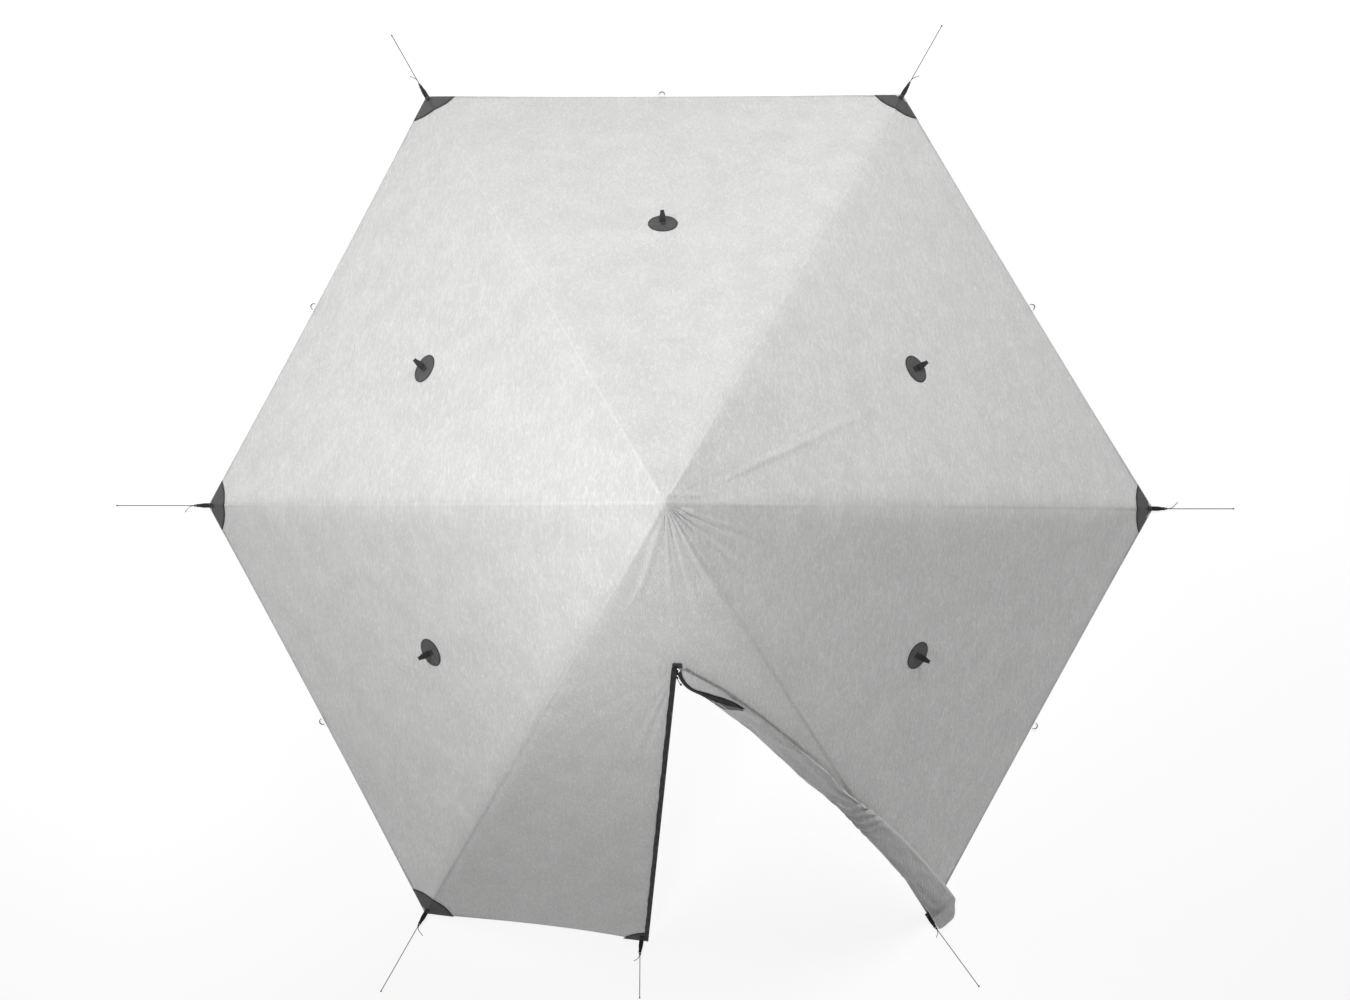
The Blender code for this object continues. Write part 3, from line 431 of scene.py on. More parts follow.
ROWS = 190
WALL_COLUMNS = 70
LEFT_PANEL_COLUMNS = 60
RIGHT_PANEL_COLUMNS = 56
LEFT_PANEL_GATHER = 0.8
SHARP_RIDGE = 0.0022
ROUND_RIDGE = 0.026
# Where the ridges turn from sharp to round: away from the pole, and above the ground.
NEAR_POLE = (0.05, 0.60)
NEAR_GROUND = (0.02, 0.50)
HEM_BOW = 0.006
DOOR_HEM_BOW = 0.019
RIPPLE_HEIGHT = 0.0006
LONG_RIPPLE = 0.034
SHORT_RIPPLE = 0.021
PUCKER_HEIGHT = 0.0006
PUCKER_LENGTH = 0.021
LOWEST = 0.0012
# The rolled door seen from above: share of the hinge line, how far its left and its right edge
# lie to the right of that line, and how thick it is.
ROLL_OUTLINE = [
    (0.006, -0.010, 0.010, 0.003), (0.022, -0.018, 0.018, 0.004), (0.040, -0.0215, 0.026, 0.005),
    (0.057, -0.0175, 0.035, 0.006), (0.078, -0.0065, 0.044, 0.007), (0.100, 0.0025, 0.054, 0.009),
    (0.142, 0.013, 0.066, 0.011), (0.215, 0.028, 0.084, 0.014), (0.325, 0.036, 0.101, 0.017),
    (0.420, 0.043, 0.116, 0.019), (0.490, 0.052, 0.111, 0.015), (0.550, 0.055, 0.122, 0.019),
    (0.620, 0.055, 0.135, 0.022), (0.700, 0.053, 0.143, 0.024), (0.778, 0.049, 0.145, 0.025),
    (0.864, 0.041, 0.141, 0.025), (0.948, 0.022, 0.134, 0.023), (1.000, 0.006, 0.126, 0.020),
    (1.034, -0.002, 0.122, 0.016),
]
UNDER_ROLL = 0.008


def soft_noise(a, b, seed):
    """Smooth noise over two coordinates, from -1 to 1."""
    size = 128
    table = np.random.default_rng(seed).uniform(-1, 1, (size, size))
    i, j = np.floor(a).astype(int), np.floor(b).astype(int)
    s, t = a - i, b - j
    s, t = s * s * (3 - 2 * s), t * t * (3 - 2 * t)
    low = table[i % size, j % size] * (1 - s) + table[(i + 1) % size, j % size] * s
    high = table[i % size, (j + 1) % size] * (1 - s) + table[(i + 1) % size, (j + 1) % size] * s
    return low * (1 - t) + high * t


def step(low, high, value):
    """0 below low, 1 above high, and a smooth rise between them."""
    t = np.clip((value - low) / (high - low), 0, 1)
    return t * t * (3 - 2 * t)


def pyramid(x, y):
    """Height of the pyramid over a place on the ground. Its ridges are round, but sharp at the
    pole and at the stakes, which hold them."""
    heights = np.stack([(d - n[0] * x - n[1] * y) / n[2] for n, d in facets.values()])
    least = heights.min(axis=0)
    away = np.hypot(x - peak[0], y - peak[1])
    rounding = SHARP_RIDGE + ROUND_RIDGE * step(*NEAR_POLE, away) * step(*NEAR_GROUND, least)
    blend = np.exp(-(heights - least) / rounding).sum(axis=0)
    return least - rounding * np.log(blend)


HEMS = [("right", "rear_right"), ("rear_right", "rear_left"), ("rear_left", "left"),
        ("left", "front_left"), ("front_right", "right")]
hem_lines = [(corner[a][:2], corner[b][:2]) for a, b in HEMS]
hem_lines.append((corner["front_left"][:2], door_foot[:2]))


def beside_line(x, y, a, b):
    """Distance from the line a to b, signed to its left, and the share along it."""
    along = b - a
    length = np.linalg.norm(along)
    along = along / length
    dx, dy = x - a[0], y - a[1]
    return dy * along[0] - dx * along[1], (dx * along[0] + dy * along[1]) / length


def hem_ripples(x, y):
    """Long shallow ripples that run beside each hem, and fade out into the panel. Two sets of
    waves wander through each other."""
    total = np.zeros_like(x)
    for seed, (a, b) in enumerate(hem_lines):
        distance, share = beside_line(x, y, a, b)
        run = share * np.linalg.norm(b - a)
        wander = 0.012 * soft_noise(run / 0.45, distance / 0.2, 40 + seed)
        ripple = np.sin(2 * np.pi * (distance + wander) / LONG_RIPPLE + 1.3 * seed)
        ripple += 0.6 * np.sin(2 * np.pi * (distance - wander) / SHORT_RIPPLE)
        beside = step(0.004, 0.02, distance) * (1 - step(0.05, 0.12, distance))
        between = step(0.04, 0.16, share) * step(0.04, 0.16, 1 - share)
        patchy = 0.45 + 0.55 * soft_noise(run / 0.3, distance / 0.08, 60 + seed)
        total += RIPPLE_HEIGHT * ripple * beside * between * patchy
    return total


def fan(x, y, centre, start, end, lines, reach, height, seed):
    """Folds that spread from a point between two bearings in degrees."""
    dx, dy = x - centre[0], y - centre[1]
    radius = np.hypot(dx, dy)
    middle = math.radians((start + end) / 2)
    angle = np.arctan2(dy * math.cos(middle) - dx * math.sin(middle),
                       dx * math.cos(middle) + dy * math.sin(middle))
    half = math.radians((end - start) / 2)
    inside = 1 - step(0.75 * half, half, np.abs(angle))
    wave = np.sin(angle / (2 * half) * 2 * np.pi * lines + 2.5 * soft_noise(radius / 0.16,
                                                                           angle * 3, seed))
    wave += 0.5 * np.sin(angle / (2 * half) * 2 * np.pi * lines * 1.7 + 2.0)
    fade = step(0.006, 0.05, radius) * (1 - step(0.25 * reach, reach, radius))
    return height * wave * inside * fade


def crease(x, y, line, width, height, pinch=0.25):
    """A raised fold along a line, that narrows and dies out towards its ends."""
    line = np.asarray(line, float)
    best = np.full(x.shape, 9.0)
    share = np.zeros_like(x)
    total = np.linalg.norm(np.diff(line, axis=0), axis=1).sum()
    gone = 0.0
    for a, b in zip(line, line[1:]):
        long = np.linalg.norm(b - a)
        along = (b - a) / long
        t = np.clip((x - a[0]) * along[0] + (y - a[1]) * along[1], 0, long)
        distance = np.hypot(x - a[0] - along[0] * t, y - a[1] - along[1] * t)
        nearer = distance < best
        best = np.where(nearer, distance, best)
        share = np.where(nearer, (gone + t) / total, share)
        gone += long
    fade = step(0, pinch, share) * step(0, pinch, 1 - share)
    wide = width * (0.35 + 0.65 * fade)
    top = 1 - step(0.0, 1.0, best / wide)
    return height * fade * top


# Sharp folds of the laminate: where each runs, its width and its height.
CREASES = [
    ([(0.085, 0.018), (0.127, 0.043), (0.178, 0.071), (0.266, 0.115), (0.36, 0.155),
      (0.564, 0.253), (0.800, 0.380)], 0.018, 0.0075),
    ([(0.0, -0.024), (-0.016, -0.077), (-0.035, -0.136), (-0.053, -0.198), (-0.074, -0.249),
      (-0.121, -0.316)], 0.018, 0.0070),
    ([(-0.030, 0.010), (0.0, 0.024), (0.066, 0.022), (0.112, 0.017)], 0.012, 0.0055),
    ([(-0.026, -0.020), (0.020, -0.022), (0.075, -0.022), (0.105, -0.017)], 0.009, 0.0036),
    ([(0.105, 0.006), (0.200, -0.006), (0.330, -0.009), (0.470, -0.004)], 0.014, 0.0022),
    ([(-0.790, 0.430), (-0.690, 0.380), (-0.540, 0.300), (-0.400, 0.230)], 0.015, 0.0016),
    ([(-0.750, -0.480), (-0.640, -0.420), (-0.500, -0.330), (-0.380, -0.260)], 0.015, 0.0016),
    ([(-0.030, -0.440), (0.005, -0.449), (0.055, -0.447), (0.095, -0.436)], 0.012, 0.0040),
]


# Folds that fan out from a point: its place, first and last bearing in degrees, number of folds,
# reach, height, and seed.
FANS = [
    (peak, -98, -8, 8, 0.46, 0.0020, 8), (peak, 5, 175, 9, 0.26, 0.0009, 9),
    (zip_top, 172, 262, 7, 0.62, 0.0026, 10), (zip_top, -24, 24, 4, 0.50, 0.0020, 11),
]


def wrinkles(x, y):
    """How far the sheet stands above the flat panels of the pyramid."""
    # Crinkles all over, in three sizes, then sharp little ridges, then the crush at the peak.
    total = 0.0008 * soft_noise(x / 0.075, y / 0.075, 3)
    total += 0.00040 * soft_noise(x / 0.040 + 5, y / 0.040, 4)
    total += 0.0030 * soft_noise(x / 0.24, y / 0.24 + 9, 5)
    total += 0.00035 * (1 - np.abs(soft_noise(x / 0.055, y / 0.055, 6))) ** 3
    near_peak = 1 - step(0.02, 0.26, np.hypot(x, y))
    total += near_peak * 0.0012 * soft_noise(x / 0.022, y / 0.022, 7)
    total += hem_ripples(x, y)
    for spread in FANS:
        total += fan(x, y, *spread)
    for line, width, height in CREASES:
        total += crease(x, y, line, width, height)
    # Puckers across the edge that is sewn to the left tape.
    off_zip, share = beside_line(x, y, zip_top[:2], door_foot[:2])
    run = share * np.linalg.norm((door_foot - zip_top)[:2])
    pucker = np.sin(2 * np.pi * run / PUCKER_LENGTH
                    + 3 * soft_noise(run / 0.09, np.zeros_like(run), 12))
    beside = (1 - step(0.0, 0.05, -off_zip)) * (off_zip < 0.03) * step(0, 0.1, share)
    total += PUCKER_HEIGHT * pucker * beside * step(0, 0.06, 1 - share)
    return total


def above_hem(z):
    """The wrinkles die out at the hem, which lies on the ground."""
    return step(0.0, 0.05, z)


def drape(x, y):
    """Height of the canopy's sheet over a place on the ground."""
    x, y = np.asarray(x, float), np.asarray(y, float)
    z = pyramid(x, y)
    return z + wrinkles(x, y) * above_hem(z)


def grid_faces(rows, columns, start=0):
    index = start + np.arange(rows * columns).reshape(rows, columns)
    quads = np.stack([index[:-1, :-1], index[:-1, 1:], index[1:, 1:], index[1:, :-1]], axis=-1)
    return quads.reshape(-1, 4)


def part_way(first, last, share):
    """Points on the ground from one place to another, by their shares of the way."""
    return first[None, :2] * (1 - share) + last[None, :2] * share


def panel_rows(left_edge, right_edge, columns, gather=1.0):
    """Plan points of a panel, row by row from its hem to the peak, between its two edges."""
    share = np.linspace(0, 1, columns + 1) ** gather
    return left_edge[:, None, :] * (1 - share)[None, :, None] \
        + right_edge[:, None, :] * share[None, :, None]


row_heights = np.linspace(0, 1, ROWS + 1) * peak[2]


def ridge_rows(foot):
    return part_way(foot, peak, (row_heights / peak[2])[:, None])


def seam_above(low):
    """A front panel's edge: as given up to the top of the zip, then up the seam to the peak."""
    share = ((row_heights - zip_top[2]) / (peak[2] - zip_top[2]))[:, None]
    return np.where(row_heights[:, None] < zip_top[2], low, part_way(zip_top, peak, share))


def zip_rows():
    """The left front panel's edge, up the zip."""
    return seam_above(part_way(door_foot, zip_top, (row_heights / zip_top[2])[:, None]))


hinge_line = corner["front_right"] - zip_top
hinge_plan = level_unit(hinge_line)
beside_hinge = np.array([-hinge_plan[1], hinge_plan[0]])
roll_table = smooth_line(ROLL_OUTLINE, 400)


def roll_size(share):
    """Left edge, right edge and thickness of the rolled door at a share of the hinge line."""
    return (np.interp(share, roll_table[:, 0], roll_table[:, k]) for k in (1, 2, 3))


def under_door(share, aside):
    """The place on the panel or the ground under the rolled door, beside the hinge line."""
    place = zip_top[:2] + hinge_line[:2] * share[..., None] + beside_hinge * aside[..., None]
    panels = [(facets[k][1] - place @ facets[k][0][:2]) / facets[k][0][2]
              for k in ("door_right", "front_right")]
    height = np.maximum(np.minimum(*panels), 0.004)
    return np.concatenate([place, height[..., None]], axis=-1)


def door_edge_rows():
    """The right front panel's edge, under the rolled door."""
    share = np.linspace(0.0, 1.0, 200)
    left, _, _ = roll_size(share)
    aside = (left + UNDER_ROLL) * step(0, 0.03, share)
    place = zip_top[:2] + hinge_line[:2] * share[:, None] + beside_hinge * aside[:, None]
    normal, far = facets["door_right"]
    height = (far - place @ normal[:2]) / normal[2]
    order = np.argsort(height)
    low = np.stack([np.interp(row_heights, height[order], place[order, k]) for k in (0, 1)],
                   axis=-1)
    return seam_above(low)


def bowed_in(plan, columns, bow):
    """Draws the hem of a panel in a little between its two corners."""
    share = np.linspace(0, 1, columns + 1)
    pull = bow * 4 * share * (1 - share)
    lift = (1 - row_heights / peak[2])[:, None] ** 12
    middle = plan[0].mean(axis=0)
    inward = -unit_of(middle)
    return plan + (lift * pull[None, :])[:, :, None] * inward[None, None, :]


def canopy_sheet():
    """Points and faces of the whole sheet, panel by panel."""
    panels = []
    for a, b in HEMS[:4]:
        plan = panel_rows(ridge_rows(corner[a]), ridge_rows(corner[b]), WALL_COLUMNS)
        panels.append(bowed_in(plan, WALL_COLUMNS, HEM_BOW))
    plan = panel_rows(ridge_rows(corner["front_left"]), zip_rows(), LEFT_PANEL_COLUMNS,
                      LEFT_PANEL_GATHER)
    panels.append(bowed_in(plan, LEFT_PANEL_COLUMNS, DOOR_HEM_BOW))
    panels.append(panel_rows(door_edge_rows(), ridge_rows(corner["front_right"]),
                             RIGHT_PANEL_COLUMNS))
    plan = panel_rows(ridge_rows(corner["front_right"]), ridge_rows(corner["right"]), WALL_COLUMNS)
    panels.append(bowed_in(plan, WALL_COLUMNS, HEM_BOW))
    points, faces = [], []
    start = 0
    for plan in panels:
        x, y = plan[..., 0], plan[..., 1]
        z = pyramid(x, y) + wrinkles(x, y) * above_hem(row_heights)[:, None]
        points.append(np.stack([x, y, np.maximum(z, LOWEST)], axis=-1).reshape(-1, 3))
        faces.append(grid_faces(*x.shape, start))
        start += x.size
    return np.concatenate(points), np.concatenate(faces)


def merged(mesh, distance=1e-6):
    """Joins points that lie on each other, so that the panels make one sheet."""
    shape = bmesh.new()
    shape.from_mesh(mesh)
    bmesh.ops.remove_doubles(shape, verts=shape.verts, dist=distance)
    bmesh.ops.dissolve_degenerate(shape, edges=shape.edges, dist=distance)
    shape.to_mesh(mesh)
    shape.free()
    return mesh


# Bearing in degrees, fineness, and offset of each set of fibres in the laminate.
FIBRES = [(8, 165, 1.0), (38, 140, 2.3), (66, 155, 3.9), (-32, 150, 5.1), (-62, 160, 6.7),
          (90, 145, 8.2)]
FIBRE_RATIO = (1.0, 0.13, 0.4)


def laminate_material(name, dark, light, see_through):
    """White film over a felt of fine fibres: streaks, blotches, and a soft sheen."""
    made, tree, out = plain_node_material(name)
    place = add_node(tree, "ShaderNodeTexCoord").outputs["Object"]

    def streaks(turn, scale, offset):
        """Short thin fibres that lie along one direction."""
        turned = add_node(tree, "ShaderNodeMapping", {
            "Vector": place, "Rotation": (0, 0, math.radians(turn)),
            "Location": (offset, 0.37 * offset, 0),
            "Scale": tuple(scale * part for part in FIBRE_RATIO)})
        level = grain(tree, turned.outputs[0], 1.0, 2.0, Roughness=0.6, Distortion=1.2)
        return add_node(tree, "ShaderNodeMapRange", {
            "Value": level, "From Min": 0.53, "From Max": 0.70}).outputs[0]

    felt = streaks(*FIBRES[0])
    for fibres in FIBRES[1:]:
        felt = arithmetic(tree, "ADD", felt, streaks(*fibres))
    clouds = arithmetic(tree, "MULTIPLY", grain(tree, place, 9.0, 5.0), 0.55)
    tone = arithmetic(tree, "MULTIPLY_ADD", felt, 0.30, clouds)
    colour = colour_ramp(tree, tone, (dark, dark, dark * 0.993), (light, light, light * 0.994),
                         0.25, 0.85)
    height = arithmetic(tree, "MULTIPLY_ADD", felt, 0.5,
                        grain(tree, place, 55.0, 4.0, Distortion=0.8))
    normal = bumped(tree, height, 0.55, 0.0030)
    film = principled(tree, out, colour, normal, Roughness=0.48, Specular_IOR_Level=0.35,
                      Sheen_Weight=0.08)
    glow = add_node(tree, "ShaderNodeBsdfTranslucent", {"Color": colour, "Normal": normal})
    mixed = add_node(tree, "ShaderNodeMixShader", {0: see_through, 1: film, 2: glow.outputs[0]})
    tree.links.new(mixed.outputs[0], out.inputs["Surface"])
    return made


PLAIN_WALLS = ("rear", "rear_left", "front_left", "front_right", "rear_right")

laminate = laminate_material("laminate_film", 0.68, 0.86, 0.18)
# The doubled film: two plies let less light through. Its colour is also lifted above the plain
# film's as painted light, so the ridge seam tapes show as pale lines instead of the shade that
# falls along the ridges. The rolled door, its fold and its tie band use the same lightened film.
doubled_film_painted_light = laminate_material("laminate_film_doubled_painted_light", 0.74, 0.90, 0.09)
sheet_points, sheet_faces = canopy_sheet()
canopy = link_piece("canopy_sheet", merged(mesh_from("canopy_sheet", sheet_points, sheet_faces)),
                    "canopy", laminate,
                    ["peak_cap", "front_panel_left", "front_panel_right"]
                    + ["wall_" + name for name in PLAIN_WALLS])


# Hems and ridge seams. Each hem is turned up once and bonded; over each ridge lies a narrow tape
# of the same film, doubled, whose lighter colour is painted light along the ridges.

HEM_WIDTH = 0.013
SEAM_WIDTH = 0.0045
SEAM_LIFT = 0.0003
SEAM_ROWS_UNDER_ROLL = 12
CLOTH_PLY = 0.0009
STEEPNESS = 0.64
# How far in from the edge of the hem, and how high above the ground, its turned strip runs.
HEM_PROFILE = [(-0.0010, 0.0016), (0.0005, 0.0042)] \
    + [(HEM_WIDTH * STEEPNESS * out, HEM_WIDTH * out * 0.77 + 0.0030) for out in (0.3, 0.65, 1.0)]


def laid(plan, lift):
    """Points lifted off the canopy's sheet over some places on the ground."""
    plan = np.asarray(plan, float)
    height = drape(plan[..., 0], plan[..., 1]) + lift / STEEPNESS
    return np.concatenate([plan, np.maximum(height, lift + 0.0012)[..., None]], axis=-1)


def shell(name, grid, thickness, body, finish, stands_for=(), uvs=None):
    """A thin closed piece from a grid of points on its top."""
    grid = np.asarray(grid, float)
    rows, columns = grid.shape[:2]
    faces = grid_faces(rows, columns)
    flat = grid.reshape(-1, 3)
    a, b, d = (flat[faces[len(faces) // 2][k]] for k in (0, 1, 3))
    if np.cross(b - a, d - a)[2] < 0:
        faces = faces[:, ::-1]
    if uvs is None:
        across = np.linspace(0, 1, columns)[None, :] + np.zeros((rows, 1))
        along = run_along(grid[:, columns // 2])
        uvs = np.stack([across, along[:, None] + 0 * across], axis=-1)
    mesh = mesh_from(name, flat, faces, np.asarray(uvs).reshape(-1, 2))
    piece = link_piece(name, mesh, body, finish, stands_for)
    skin = piece.modifiers.new("thickness", "SOLIDIFY")
    skin.thickness = thickness
    skin.offset = -1.0
    return piece


def hem_line(a, b, bow, count=90):
    """Plan points of the hem between two corners, drawn in by its bow."""
    share = np.linspace(0, 1, count)
    middle = (a + b) / 2
    inward = -unit_of(middle)
    along = a + (b - a) * share[:, None]
    return along + inward * (bow * 4 * share * (1 - share))[:, None], inward


for index, (a, b) in enumerate(hem_lines):
    bow = DOOR_HEM_BOW if index == len(hem_lines) - 1 else HEM_BOW
    edge, inward = hem_line(a, b, bow)
    strip = np.stack([np.concatenate([edge + inward * back, np.full((len(edge), 1), height)],
                                     axis=1) for back, height in HEM_PROFILE], axis=1)
    shell("hem_%d" % index, strip, CLOTH_PLY, "canopy", laminate)

for name in CORNER_NAMES:
    share = np.linspace(0.03, 0.985, 110)[:, None]
    ridge = part_way(corner[name], peak, share)
    aside = level_left(level_unit(peak - corner[name]))[:2]
    if name == "front_right":
        ridge = ridge[SEAM_ROWS_UNDER_ROLL:]
    strip = np.stack([laid(ridge + aside * SEAM_WIDTH * k, SEAM_LIFT)
                      for k in (-1, -0.5, 0, 0.5, 1)], axis=1)
    # Ridge seam tapes in the doubled film, whose lifted colour paints a pale line of light along
    # each ridge.
    seam_mesh = mesh_from("ridge_seam_" + name, strip.reshape(-1, 3),
                          grid_faces(*strip.shape[:2])[:, ::-1])
    link_piece("ridge_seam_" + name, seam_mesh, "canopy",
                                 doubled_film_painted_light)


# Corner patches. A fan of dark ripstop is sewn over each corner of the hem, and over the foot of
# the left half of the zip, with a bound edge and two rows of stitches.

PATCH_REACH = 0.108
PATCH_MIDDLE = 0.084
DOOR_PATCH_HEM = 0.086
DOOR_PATCH_ZIP = 0.0496
DOOR_PATCH_MIDDLE = 0.052
SLIDER_ROOM = 0.010
BOUND_FROM = 0.93
PATCH_LIFT = 0.0016
STITCH_LIFT = 0.0019
STITCH_SPACING = 0.0036
STITCH_SIZE = (0.0005, 0.0005, 0.0026)


def woven_material(name, dark, light, pitch, roughness, border=False, rip=0.0):
    """A plain weave on Object coordinates, with slight wear, and a darker bound edge."""
    made, tree, out = plain_node_material(name)
    place = add_node(tree, "ShaderNodeTexCoord").outputs["Object"]
    split = add_node(tree, "ShaderNodeSeparateXYZ", {0: place})

    def wave(axis, length):
        turn = arithmetic(tree, "MULTIPLY", split.outputs[axis], 2 * math.pi / length)
        return arithmetic(tree, "SINE", turn)

    weave = arithmetic(tree, "MULTIPLY", wave(0, pitch), wave(1, pitch))
    if rip:
        grid = arithmetic(tree, "MAXIMUM", wave(0, rip), wave(1, rip))
        ribs = arithmetic(tree, "GREATER_THAN", grid, 0.985)
        weave = arithmetic(tree, "ADD", weave, arithmetic(tree, "MULTIPLY", ribs, 1.4))
    level = arithmetic(tree, "ADD", arithmetic(tree, "MULTIPLY", weave, 0.16),
                       grain(tree, place, 60.0, 4.0))
    colour = colour_ramp(tree, level, dark, light, 0.25, 0.85)
    if border:
        mark = add_node(tree, "ShaderNodeUVMap")
        mark_split = add_node(tree, "ShaderNodeSeparateXYZ", {0: mark.outputs[0]})
        bound = arithmetic(tree, "GREATER_THAN", mark_split.outputs[1], BOUND_FROM)
        tint = add_node(tree, "ShaderNodeMix", {
            "Factor": bound, "A": colour, "B": (*(0.45 * c for c in dark), 1)}, data_type="RGBA")
        colour = tint.outputs["Result"]
    principled(tree, out, colour, bumped(tree, level, 0.5, 0.0003), Roughness=roughness,
               Specular_IOR_Level=0.3, Sheen_Weight=0.12)
    return made


def repeat_tree(finish):
    """A node tree that sets a shape every so far along lines, facing a given way."""
    tree = bpy.data.node_groups.new("repeat_along", "GeometryNodeTree")
    for socket, kind in (("Lines", "Geometry"), ("Shape", "Object"), ("Spacing", "Float"),
                         ("Outward", "Vector")):
        tree.interface.new_socket(socket, in_out="INPUT", socket_type="NodeSocket" + kind)
    tree.interface.new_socket("Geometry", in_out="OUTPUT", socket_type="NodeSocketGeometry")
    given = add_node(tree, "NodeGroupInput").outputs
    curve = add_node(tree, "GeometryNodeMeshToCurve", {"Mesh": given["Lines"]})
    spread = add_node(tree, "GeometryNodeCurveToPoints", mode="LENGTH", given={
        "Curve": curve.outputs["Curve"], "Length": given["Spacing"]})
    shape = add_node(tree, "GeometryNodeObjectInfo", {"Object": given["Shape"]})
    along = add_node(tree, "FunctionNodeAlignRotationToVector", axis="Z", given={
        "Vector": spread.outputs["Tangent"]})
    facing = add_node(tree, "FunctionNodeAlignRotationToVector", axis="X", pivot_axis="Z", given={
        "Rotation": along.outputs["Rotation"], "Vector": given["Outward"]})
    copies = add_node(tree, "GeometryNodeInstanceOnPoints", {
        "Points": spread.outputs["Points"], "Instance": shape.outputs["Geometry"],
        "Rotation": facing.outputs["Rotation"]})
    real = add_node(tree, "GeometryNodeRealizeInstances",
                    {"Geometry": copies.outputs["Instances"]})
    painted = add_node(tree, "GeometryNodeSetMaterial",
                       {"Geometry": real.outputs["Geometry"], "Material": finish})
    add_node(tree, "NodeGroupOutput", {"Geometry": painted.outputs["Geometry"]})
    return tree


def repeated_along(name, lines, spacing, size, outward, body, finish):
    """Small rounded bars of a size (out, across, along) every so far along some lines."""
    points, edges = [], []
    for line in lines:
        start = len(points)
        points.extend(np.asarray(line, float).tolist())
        edges.extend((start + k, start + k + 1) for k in range(len(line) - 1))
    runs = bpy.data.meshes.new(name + "_runs")
    runs.from_pydata(points, edges, [])
    piece = in_scene(name, runs)
    bar_mesh = bpy.data.meshes.new(name + "_bar")
    shape = bmesh.new()
    bmesh.ops.create_uvsphere(shape, u_segments=6, v_segments=5, radius=0.5,
                              matrix=Matrix.Diagonal((*size, 1)))
    shape.to_mesh(bar_mesh)
    shape.free()
    bar = in_scene(name + "_bar", bar_mesh)
    modifier = piece.modifiers.new("repeat", "NODES")
    modifier.node_group = repeat_tree(finish)
    inputs = {item.name: item.identifier for item in modifier.node_group.interface.items_tree
              if item.in_out == "INPUT"}
    modifier[inputs["Shape"]] = bar
    modifier[inputs["Spacing"]] = spacing
    modifier[inputs["Outward"]] = tuple(map(float, outward))
    graph = bpy.context.evaluated_depsgraph_get()
    mesh = bpy.data.meshes.new_from_object(piece.evaluated_get(graph), depsgraph=graph)
    mesh.name = name
    mesh.polygons.foreach_set("use_smooth", [True] * len(mesh.polygons))
    piece.modifiers.clear()
    piece.data = mesh
    bpy.data.objects.remove(bar)
    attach(piece, body)
    return piece


ripstop = woven_material("ripstop", (0.050, 0.050, 0.051), (0.088, 0.088, 0.090), 0.0011, 0.62,
                         border=True, rip=0.0062)
thread = woven_material("thread", (0.030, 0.030, 0.031), (0.080, 0.080, 0.082), 0.0007, 0.6)


def sewn_patch(kind, name, plan, uvs, seams, outward, stands_for):
    """A patch of ripstop on the canopy, with rows of stitches along its seams."""
    shell(kind + "_cloth_" + name, laid(plan, PATCH_LIFT), CLOTH_PLY, "canopy",
          ripstop, [stands_for], uvs)
    repeated_along(kind + "_stitches_" + name, [laid(seam, STITCH_LIFT) for seam in seams],
                   STITCH_SPACING, STITCH_SIZE, outward, "canopy", thread)


def fan_patch(name, foot, first, second, reach_first, reach_second, middle):
    """A patch that fans out from a corner between two level directions."""
    turn = math.acos(float(np.clip(first @ second, -1, 1)))
    share = np.linspace(0, 1, 33)
    ways = (np.sin((1 - share) * turn)[:, None] * first + np.sin(share * turn)[:, None] * second) \
        / math.sin(turn)
    ends = reach_first * (1 - share) + reach_second * share
    ends = ends + (middle - (reach_first + reach_second) / 2) * np.sin(np.pi * share) ** 0.75
    out = np.linspace(0.02, 1, 22)
    plan = foot + ways[None, :, :] * (ends[None, :] * out[:, None])[..., None]
    uvs = np.stack(np.broadcast_arrays(share[None, :], out[:, None]), axis=-1)
    seams = [foot + ways * (ends * inner)[:, None] for inner in (0.90, 0.955)]
    sewn_patch("patch", name, plan, uvs, seams, (0, 0, 1), "patch_" + name)


ring_of_corners = CORNER_NAMES + CORNER_NAMES[:1]
for index, name in enumerate(CORNER_NAMES):
    foot = corner[name][:2]
    onward = level_unit(corner[ring_of_corners[index + 1]] - corner[name])
    back = level_unit(corner[CORNER_NAMES[index - 1]] - corner[name])
    if name == "front_left":
        onward = level_unit(door_foot - corner[name])
    if name == "front_right":
        back = level_unit(under_door(np.array(0.93), np.array(0.040)) - corner[name])
    fan_patch(name, foot + (peak[:2] - foot) * 0.001, onward, back, PATCH_REACH, PATCH_REACH,
              PATCH_MIDDLE)
along_hem = level_unit(corner["front_left"] - door_foot)
fan_patch("door", door_foot[:2] + along_hem * SLIDER_ROOM, along_hem,
          level_unit(zip_top - door_foot), DOOR_PATCH_HEM, DOOR_PATCH_ZIP, DOOR_PATCH_MIDDLE)


# Stake loops. A doubled band of stiff webbing is box-stitched over each patch and runs out past
# the hem, where a stake and the guyline go through its fold.

WEB_WIDTH = 0.017
WEB_PLY = 0.0013
THREAD_LIFT = 0.0009
BOX_SPACING = 0.0024
BOX_THREAD = (0.0005, 0.0005, 0.0018)
STRAP_TAPER = 0.36
STRAP_LIFT = 0.0052
# How far in from the hem the band is sewn down, then how far out and how high it runs, out to
# its fold and back again under itself.
STRAP_SEWN = (0.026, 0.019, 0.012, 0.006)
STRAP_ROUTE = [(0.002, 0.0085), (0.012, 0.0066), (0.026, 0.0060), (0.036, 0.0056),
               (0.0415, 0.0046), (0.0436, 0.0030), (0.0415, 0.0014), (0.032, 0.0011),
               (0.016, 0.0011), (0.002, 0.0011)]


